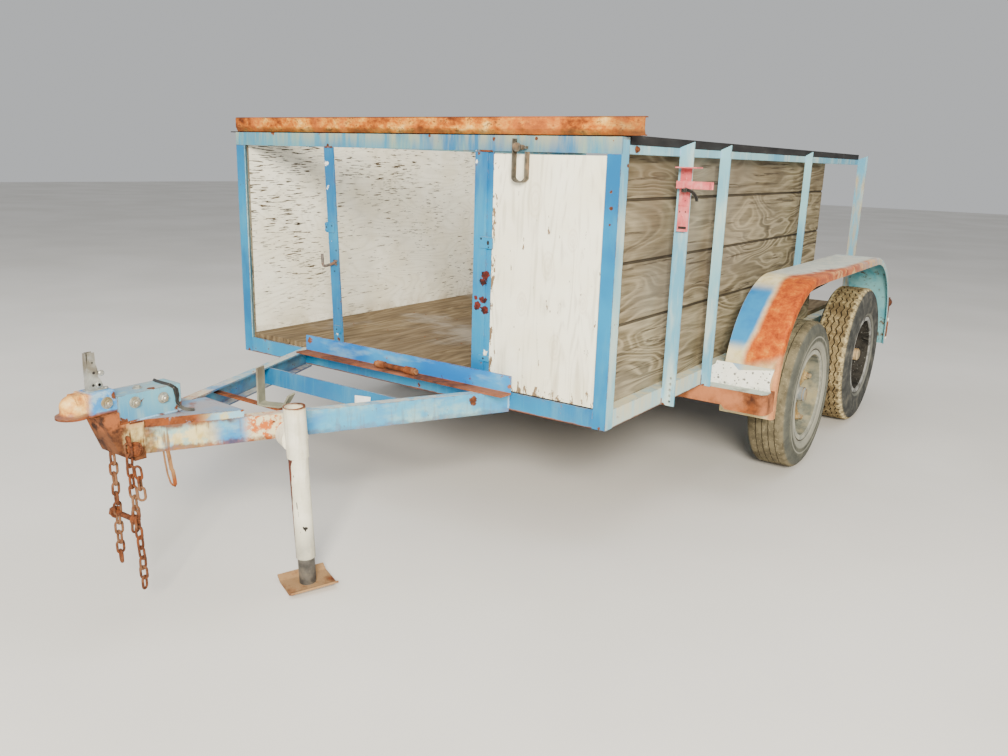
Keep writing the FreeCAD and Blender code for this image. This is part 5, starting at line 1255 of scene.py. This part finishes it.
bm = bmesh.new()
chain(bm, [P(58, -1160, 519), P(56, -1157, 420), P(60, -1152, 290), P(64, -1148, 180), P(62, -1146, 68)], 14)
chain(bm, [P(-30, -1158, 474), P(-34, -1154, 380), P(-41, -1150, 290), P(-46, -1148, 200), P(-50, -1146, 128)], 11, turn=0.9)
chain(bm, [P(72, -1146, 452), P(78, -1143, 360)], 3, turn=0.1)
chain(bm, [P(49, -1150, 318), P(44, -1150, 262)], 2, turn=0.7)
make("chain_links", bm, M["chain"], "trailer", ("safety_chains",), 0.9)

# eyes on the nose, the bolt that ties both lengths, and the bent strip
bm = bmesh.new()
nose_right = Vector((1, -0.4355, 0)).normalized()
disc(bm, P(50, -1136, 499), nose_right, [(0.021, 0.0), (0.021, 0.005), (0.0185, 0.007)], 28)
hexbolt(bm, P(52, -1136, 499) + nose_right * 0.005, nose_right, flats=0.024, head=0.010, washer=0.0, wt=0.0, stub=0.004, turn=0.4)
link(bm, P(57, -1156, 522), Vector((0.1, -0.2, 1)).normalized(), Vector((1, -0.2, -0.1)).normalized(), 0.0045)
link(bm, P(-32, -1157, 490), Vector((0, -0.1, 1)).normalized(), Vector((1, 0.1, 0)).normalized(), 0.0045)
disc(bm, P(-40, -1140, 500), Vector((-1, -0.4355, 0)).normalized(), [(0.021, 0.0), (0.021, 0.006), (0.018, 0.009)], 28)
tube(bm, [P(-58, -1149, 288), P(52, -1152, 292)], 0.0078, sides=14)
ax = (P(52, -1152, 292) - P(-58, -1149, 288)).normalized()
hexbolt(bm, P(-50, -1149, 288), -ax, flats=0.030, head=0.013, washer=0.018, wt=0.003, turn=0.5)
hexbolt(bm, P(46, -1152, 292), ax, flats=0.024, head=0.010, washer=0.015, wt=0.002, turn=0.2)
make("chain_fixings", bm, M["bolt_rust"], "trailer", (), 0.6)

bm = bmesh.new()
tube(bm, [P(66, -1047, 480), P(70, -1045, 452), P(71, -1042, 420), P(71, -1041, 417), P(73, -1039, 412), P(74, -1036, 384), P(72, -1034, 370),
          P(66, -1034, 362), P(60, -1036, 366)], 0, flat=(0.011, 0.003, (0.9, -0.4, 0.1)))
tube(bm, [P(52, -1052, 482), P(55, -1050, 440), P(57, -1046, 400), P(60, -1040, 372), P(63, -1037, 366)], 0.0028, sides=8)
make("bent_strip", bm, M["strip_metal"], "trailer", (), 0.6)

# coupler: bolts, rubber band, lever
bm = bmesh.new()
for s_, z_, x_ in ((-1197, 643, 35.4), (-1120, 629, 41.4), (-1033, 624, 41.4)):
    hexbolt(bm, P(x_, s_, z_), (1, 0, 0), flats=0.0215, head=0.0095, washer=0.0165, wt=0.0026, stub=0.0045, turn=0.3 + s_ * 0.01)
    hexbolt(bm, P(-x_, s_, z_), (-1, 0, 0), flats=0.0205, head=0.0085, washer=0.0155, wt=0.0022, turn=0.1)
hexbolt(bm, P(0, -1085, 655.2), (0, 0, 1), flats=0.016, head=0.006, washer=0.013, wt=0.002, turn=0.5)
make("coupler_bolts", bm, M["bolt"], "trailer", (), 0.6)

bm = bmesh.new()
tube(bm, [P(-42.8, -1000, 600), P(-43.4, -996, 625), P(-43.4, -1002, 650), P(-41, -1008, 656.8), P(-20, -1012, 657.4), P(20, -1013, 657.6), P(41, -1011, 657.2),
          P(43.6, -1003, 652), P(43.6, -990, 640), P(43.4, -988, 622), P(43.6, -991, 606), P(46, -986, 590), P(52, -976, 581), P(60, -962, 576), P(66, -950, 573)],
     0, flat=(0.011, 0.0024, (-1, 0, 0)))
tube(bm, [P(43.8, -1000, 648), P(45.2, -995, 620), P(45.0, -993, 600), P(47, -984, 588)], 0.0028, sides=8)
make("rubber_band", bm, M["rubber"], "trailer", (), 0.8)

bm = bmesh.new()
lever = [(-1227, 675.5), (-1188, 675.5), (-1187.5, 688), (-1193, 702), (-1199, 712), (-1200, 736), (-1204, 748), (-1204, 779.5), (-1224, 779.5), (-1227, 740)]
for x0, dx in ((7.0, 2.0), (-9.0, 2.0)):
    prism(bm, P(x0, 0, 0), (0, 1, 0), (0, 0, 1), [(s_ / 1000.0 , z_ / 1000.0) for s_, z_ in lever], dx / 1000.0, 0.0)
prism(bm, P(-9, -1227.4, 676), (1, 0, 0), (0, 0, 1), [(0, 0), (0.018, 0), (0.018, 0.062), (0.015, 0.103), (0.003, 0.103), (0.0, 0.062)], 0.0022, 0.0)
tube(bm, [P(-12, -1194, 722), P(13, -1194, 722)], 0.0036, sides=14)
disc(bm, P(12, -1194, 722), (1, 0, 0), [(0.0036, 0.0), (0.0082, 0.002), (0.0082, 0.005), (0.0055, 0.007)], 18)
tube(bm, [P(-12, -1200, 690), P(13, -1200, 690)], 0.0045, sides=14)
disc(bm, P(9.0, -1200, 690), (1, 0, 0), [(0.0085, 0.0), (0.0085, 0.0024), (0.006, 0.004)], 18)
prism(bm, P(-14, -1234, 675.2), (1, 0, 0), (0, 1, 0), [(0, 0), (0.028, 0), (0.030, 0.050), (0.024, 0.060), (0.004, 0.060), (-0.002, 0.050)], 0.0026, 0.0006)
disc(bm, P(11, -1181, 677), (0, 0, 1), [(0.006, 0.0), (0.0055, 0.0035), (0.003, 0.005)], 14)
make("latch_lever", bm, M["galv"], "trailer", ("coupler_latch",), 0.6)
# painted shade in the lever's holes: thin near-black discs
bm = bmesh.new()
for s_, z_, r_ in ((-1215, 690, 0.0042), (-1211, 724, 0.0046), (-1213, 752, 0.0028)):
    disc(bm, P(8.95, s_, z_), (1, 0, 0), [(r_, 0.0), (r_ * 0.97, 0.0003)], 16)
make("lever_holes", bm, M["hole"], "trailer", (), 0.6)


# weld beads
def bead(bm, a, b, r=0.0042, ripple=0.0055):
    n = max(4, int((b - a).length / (ripple * 0.5)))
    pts, rad = [], []
    for i in range(n + 1):
        t = i / n
        p = a.lerp(b, t)
        j = mnoise.noise_vector(p * 60) * 0.0009
        pts.append(p + j)
        rad.append(r * (0.78 + 0.20 * abs(math.sin(math.pi * i / 2)) + 0.16 * mnoise.noise(p * 130)))
    n_ = len(pts)
    tube(bm, pts, lambda f: rad[min(n_ - 1, int(round(f * (n_ - 1))))], sides=7)


def SL(station):
    """Height of the tongue's top face at a station."""
    return 443 + 77 + (-station) * math.tan(math.radians(1.667))


bm = bmesh.new()
bead(bm, P(41.5, -1166, 576), P(41.5, -980, 576))
bead(bm, P(-41.5, -1166, 576), P(-41.5, -980, 576))
bead(bm, P(-40, -975, 576), P(40, -975, 576))
bead(bm, P(-38, -1169, 578), P(38, -1169, 578), 0.005)
for sx in (1, -1):
    bead(bm, P(sx * 350, -318, 522), P(sx * 383, -318, 516), 0.004)
    bead(bm, P(sx * 523, -1, 456), P(sx * 523, -1, 512), 0.005)
    bead(bm, P(sx * 908, 426, 470), P(sx * 911.5, 426, 508), 0.003)
    for st in (426, 795, 1870):
        for k in (0, 1):
            s_ = st + k * 6
            bead(bm, P(sx * 911.6, s_, 452), P(sx * 911.6, s_, 512), 0.0032)
            bead(bm, P(sx * 911.6, s_, 1337), P(sx * 911.6, s_, 1360), 0.0032)
bead(bm, P(520, -1.0, 513.5), P(500, -46, 516), 0.004)
for x_, z0, z1 in ((-384, 514.5, 514.5), (356, 515, 515)):
    bead(bm, P(x_ + 2, -0.5, 515), P(x_ + 46, -0.5, 515), 0.0038)
bead(bm, P(356, -0.8, 1333.5), P(426, -0.8, 1333.5), 0.0036)
bead(bm, P(-384, -0.8, 1334), P(-336, -0.8, 1334), 0.0036)
make("weld_beads", bm, M["weld"], "trailer", (), 0.9)

# small bolt at the front end of the right side rail
bm = bmesh.new()
hexbolt(bm, P(911.2, 96, 1350), (1, 0, 0), flats=0.015, head=0.007, washer=0.011, wt=0.002, stub=0.003, turn=0.4)
make("rail_bolt", bm, M["bolt_rust"], "trailer", (), 0.6)

# a blank white label on the cross member's face
bm = bmesh.new()
lab = [P(113, -346.4, 500), P(112, -346.2, 471), P(184, -346.2, 481), P(189, -346.4, 507)]
vs = [bm.verts.new(p) for p in lab] + [bm.verts.new(p + Vector((0, 0.0006, 0))) for p in lab]
bm.faces.new(vs[:4])
bm.faces.new(list(reversed(vs[4:])))
for k in range(4):
    bm.faces.new((vs[k], vs[(k + 1) % 4], vs[4 + (k + 1) % 4], vs[4 + k]))
make("blank_label", bm, M["label"], "trailer", (), 0)

# ------------------------------------------------------------------ plates and hook left on the two uprights
LEAN_A = math.radians(2.65)
lean_up = Vector((0, -math.sin(LEAN_A), math.cos(LEAN_A)))


def tab(bm, origin, up, x0, x1, z0, z1, thick, cut=5.0):
    """Chamfered plate standing forward of a face; z is measured along up from the origin."""
    out = [(x0 + cut, z0), (x1 - cut * 0.4, z0), (x1, z0 + cut * 0.4), (x1, z1 - cut * 0.4), (x1 - cut * 0.4, z1), (x0 + cut, z1), (x0, z1 - cut), (x0, z0 + cut)]
    prism(bm, origin, (1, 0, 0), up, [(a / 1000.0, b / 1000.0) for a, b in out], thick / 1000.0, 0.0005)


bm = bmesh.new()
top_l = P(0, 0, 1334)
tab(bm, top_l, lean_up, -397, -347, 1006 - 1334, 1046 - 1334, 4.0)
tab(bm, top_l, lean_up, -381, -342, 597 - 1334, 629 - 1334, 4.0, 4.0)
for z_ in (1014, 1038):
    c = top_l + lean_up * ((z_ - 1334) / 1000.0) + Vector((-0.384, -0.004, 0))
    tube(bm, [c + Vector((-0.010, 0, 0)), c + Vector((0.004, 0, 0))], 0.004, sides=8)
tab(bm, P(0, 0, 0), (0, 0, 1), 381, 438, 1008, 1045, 4.0)
tab(bm, P(0, 0, 0), (0, 0, 1), 384, 433, 609, 630, 4.0, 4.0)
tube(bm, [P(383, -2.5, 1046), P(436, -2.5, 1046)], 0.0028, sides=8)
make("upright_plates", bm, M["hinge"], "trailer", ("gate_hinges",), 0.6)

# painted shade in the holes of the plates and the left upright: thin near-black ellipses
bm = bmesh.new()
for x_, z_, w_, h_ in ((389, 1042, 0.004, 0.0065), (419, 1028, 0.0055, 0.0085), (421, 1013, 0.003, 0.003), (409, 619, 0.004, 0.004)):
    prism(bm, P(x_, -4.05, z_), (1, 0, 0), (0, 0, 1), [(w_ * math.cos(a), h_ * math.sin(a)) for a in [k * math.pi / 8 for k in range(16)]], 0.0002)
for x_, z_ in ((-388, 1026), (-358, 1033), (-362, 613)):
    c = top_l + lean_up * ((z_ - 1334) / 1000.0) + Vector((x_ / 1000.0, -0.00405, 0))
    prism(bm, c, (1, 0, 0), lean_up, ngon(0.0035, 14), 0.0002)
for x_, z_, w_, h_ in ((-360, 852, 0.0045, 0.003), (-345, 936, 0.003, 0.0045), (-350, 700, 0.0026, 0.0026)):
    c = top_l + lean_up * ((z_ - 1334) / 1000.0) + Vector((x_ / 1000.0, -0.0001, 0))
    prism(bm, c, (1, 0, 0), lean_up, [(w_ * math.cos(a), h_ * math.sin(a)) for a in [k * math.pi / 8 for k in range(16)]], 0.0003)
make("plate_holes", bm, M["hole"], "trailer", (), 0)

bm = bmesh.new()
hook = [P(-344, 14, 890), P(-356, 10, 885), P(-367, 6, 880), P(-380, 2, 875), P(-391, -1, 872.5), P(-397, -2, 874), P(-401, -2, 880), P(-402.5, -1, 890), P(-405, 0, 906), P(-406, 0, 920)]
tube(bm, hook, 0.0058, sides=12)
bead(bm, P(-352, 17, 892), P(-340, 18, 896), 0.006)
bead(bm, P(-354, 16, 884), P(-341, 17, 880), 0.005)
make("upright_hook", bm, M["hook_rust"], "trailer", (), 0.8)

# ------------------------------------------------------------------ bottle bracket details
bm = bmesh.new()
for x_, z_ in ((941, 1262), (938, 1136), (951, 1240)):
    disc(bm, P(x_, 422.0, z_), (0, -1, 0), [(0.0042, 0.0), (0.0036, 0.0014), (0.0018, 0.0022)], 14)
bead(bm, P(921, 421.6, 1171), P(961, 421.6, 1171), 0.0018, 0.02)
tube(bm, [P(1051.5, 392, 1229.5), P(1051.5, 392, 1253.5)], 0.0034, sides=10)
tube(bm, [P(985, 395.4, 1230), P(985, 395.4, 1253)], 0.0012, sides=6)
tube(bm, [P(950, 395.4, 1230), P(956, 395.2, 1241), P(950, 395.4, 1253)], 0.0012, sides=6)
make("bracket_trim", bm, M["red"], "trailer", (), 0.7)
# painted shade in the bracket's holes and slot as thin near-black patches, with the black catch and its pivot
bm = bmesh.new()
for x_, z_, w_, h_ in ((928, 1150, 0.0022, 0.0035), (949, 1150, 0.0022, 0.0035), (945, 1188, 0.002, 0.002), (929, 1280, 0.002, 0.002)):
    prism(bm, P(x_, 421.9, z_), (1, 0, 0), (0, 0, 1), [(w_ * math.cos(a), h_ * math.sin(a)) for a in [k * math.pi / 6 for k in range(12)]], 0.0003)
prism(bm, P(926, 421.9, 1091), (1, 0, 0), (0, 0, 1), [(0, 0), (0.030, 0), (0.030, 0.009), (0, 0.009)], 0.0003)
tube(bm, [P(944, 399, 1226), P(955, 396.5, 1228), P(966, 395.5, 1224), P(980, 395.0, 1219), P(991, 395.0, 1209), P(998, 395.0, 1196), P(998, 395.0, 1188)], 0, flat=(0.011, 0.004, (0, -1, 0)))
prism(bm, P(940, 401, 1217), (1, 0, 0), (0, 0, 1), [(0, 0), (0.016, -0.001), (0.020, 0.008), (0.018, 0.013), (0, 0.013)], 0.008, 0.001)
disc(bm, P(950, 393.2, 1223), (0, -1, 0), [(0.004, 0.0), (0.003, 0.0015)], 12)
make("bracket_catch", bm, M["hole"], "trailer", (), 0.6)

# ------------------------------------------------------------------ floor nails
bm = bmesh.new()
for i in range(8):
    x0 = -856 + 214 * i
    for st in (420, 840, 1260, 1680, 2100, 2520):
        for dx in (38, 176):
            c = P(x0 + dx + rnd.uniform(-9, 9), st + 24 + rnd.uniform(-8, 8), 535.9)
            disc(bm, c, (rnd.uniform(-0.06, 0.06), rnd.uniform(-0.06, 0.06), 1), [(0.0046, -0.001), (0.0046, 0.0002), (0.0040, 0.0009), (0.0015, 0.0011)], 12)
make("deck_nails", bm, M["bolt_rust"], "trailer", (), 0.7)

# ------------------------------------------------------------------ jack: the torn hole in its tube, painted as a near-black patch of shade, and four thin dark slits
JX, JY = 0.280402, -1.593
LEAN_J = Matrix.Translation((JX, JY, 0.476)) @ Matrix.Rotation(math.radians(2.6), 4, Vector((0.916839, -0.399283, 0.0))) @ Matrix.Translation((-JX, -JY, -0.476))
bm = bmesh.new()


def on_tube(u, z, r=0.02985, a0=math.atan2(-0.492, 0.871)):
    a = a0 + u / 0.0295
    return LEAN_J @ Vector((JX + r * math.cos(a), JY + r * math.sin(a), z))


def patch(bm, outline, zc):
    c = bm.verts.new(on_tube(sum(p[0] for p in outline) / len(outline) / 1000.0, zc / 1000.0 + sum(p[1] for p in outline) / len(outline) / 1000.0))
    ring = [bm.verts.new(on_tube(u / 1000.0, (zc + v) / 1000.0)) for u, v in outline]
    back = [bm.verts.new(on_tube(u / 1000.0, (zc + v) / 1000.0, 0.0293)) for u, v in outline]
    n = len(ring)
    for k in range(n):
        bm.faces.new((c, ring[k], ring[(k + 1) % n]))
        bm.faces.new((ring[k], back[k], back[(k + 1) % n], ring[(k + 1) % n]))


patch(bm, [(-9, 8), (-6, 9), (-3, 6), (1, 7), (5, 5), (8, 2), (6, -2), (2, -4), (0, -10), (-2, -8), (-4, -3), (-7, 0), (-8, 4)], 200)
patch(bm, [(-26, 3), (-24, 4), (-23, 0), (-24, -4), (-26, -2)], 372)
patch(bm, [(-22, 10), (-20, 11), (-19, 0), (-20, -14), (-22, -8)], 278)
patch(bm, [(-19, 9), (-18, 8), (-18, -8), (-19, -9)], 250)
patch(bm, [(-17, 1), (-16, 2), (-15, 0), (-16, -2)], 190)
make("jack_scars", bm, M["hole"], "jack_body", (), 0)

# ------------------------------------------------------------------ wheel nuts, caps, valves
for tag, side in (("right", 1), ("left", -1)):
    for end, station, R in ENDS:
        bm = bmesh.new()
        c0 = Vector((side * 1.098, S(station), R))
        for j in range(5):
            a = math.radians(72 * j + (90 if end == "front" else 62))
            c = c0 + Vector((side * 0.024, side * 0.164 * math.cos(a), 0.164 * math.sin(a)))
            ax_ = Vector((side, 0, 0))
            disc(bm, c, ax_, [(0.0135, 0.0), (0.0135, 0.0014), (0.0120, 0.003)], 18)
            u = ax_.orthogonal().normalized()
            w = ax_.cross(u)
            prism(bm, c + ax_ * 0.0026, u, w, ngon(0.0125, 6, rnd.uniform(0, 1)), 0.0135, 0.0022)
        disc(bm, c0 + Vector((side * 0.0675, 0, 0)), (side, 0, 0), [(0.0255, -0.006), (0.0262, -0.002), (0.0240, 0.002), (0.0150, 0.0042), (0.004, 0.0048)], 28)
        disc(bm, c0 + Vector((side * 0.0605, 0, 0)), (side, 0, 0), [(0.0320, -0.0015), (0.0320, 0.0015)], 32)
        make("wheel_nuts_%s_%s" % (end, tag), bm, M["nut"], "wheel_%s_%s" % (end, tag), (), 0.6)
        bm = bmesh.new()
        a = math.radians(126 if end == "front" else 20)
        d = Vector((0, side * math.cos(a), math.sin(a)))
        base = c0 + Vector((side * 0.048, 0, 0)) + d * 0.176
        tube(bm, [base + d * 0.006 - Vector((side * 0.012, 0, 0)), base, base + Vector((side * 0.016, 0, 0)) - d * 0.004, base + Vector((side * 0.026, 0, 0)) - d * 0.006], 0.0038, sides=10)
        make("valve_%s_%s" % (end, tag), bm, M["rubber"], "wheel_%s_%s" % (end, tag), (), 0.8)

# ------------------------------------------------------------------ floor, light, world
def floor_material():
    m = Mat("studio_floor")
    n = m.noise(0.7, 4.0, 0.5)
    col = m.mix(m.step(n, 0.3, 0.7), srgb(214, 211, 205), srgb(224, 221, 216))
    return m.done(col, 0.85, m.bump(m.noise(40, 3.0, 0.5), 0.05, 0.001), spec=0.2)


bm = bmesh.new()
prism(bm, (0, 0, -0.02), (1, 0, 0), (0, 1, 0), [(-30, -30), (30, -30), (30, 30), (-30, 30)], 0.02)
me = bpy.data.meshes.new("studio_floor")
bm.to_mesh(me)
bm.free()
floor = bpy.data.objects.new("studio_floor", me)
bpy.context.scene.collection.objects.link(floor)
me.materials.append(floor_material())

world = bpy.data.worlds.new("studio")
bpy.context.scene.world = world
world.use_nodes = True
wt = world.node_tree
bg = wt.nodes["Background"]
bg.inputs["Color"].default_value = (0.96, 0.98, 1.0, 1.0)
bg.inputs["Strength"].default_value = 0.56


def area(name, loc, target, size, power, color):
    ld = bpy.data.lights.new(name, "AREA")
    ld.shape = "RECTANGLE"
    ld.size, ld.size_y = size
    ld.energy = power
    ld.color = color
    ob = bpy.data.objects.new(name, ld)
    d = Vector(target) - Vector(loc)
    ob.matrix_world = Matrix.Translation(Vector(loc)) @ d.to_track_quat("-Z", "Y").to_matrix().to_4x4()
    bpy.context.scene.collection.objects.link(ob)
    return ob


area("key", (4.6, -6.4, 3.6), (0.1, -0.4, 0.7), (2.2, 2.2), 1400.0, (1.0, 0.935, 0.80))
area("fill", (-5.0, -4.0, 3.6), (0.0, 0.0, 0.7), (5.0, 4.0), 110.0, (0.92, 0.96, 1.0))
area("top", (0.5, 0.5, 6.5), (0.0, 0.2, 0.5), (5.0, 5.0), 200.0, (1.0, 1.0, 1.0))
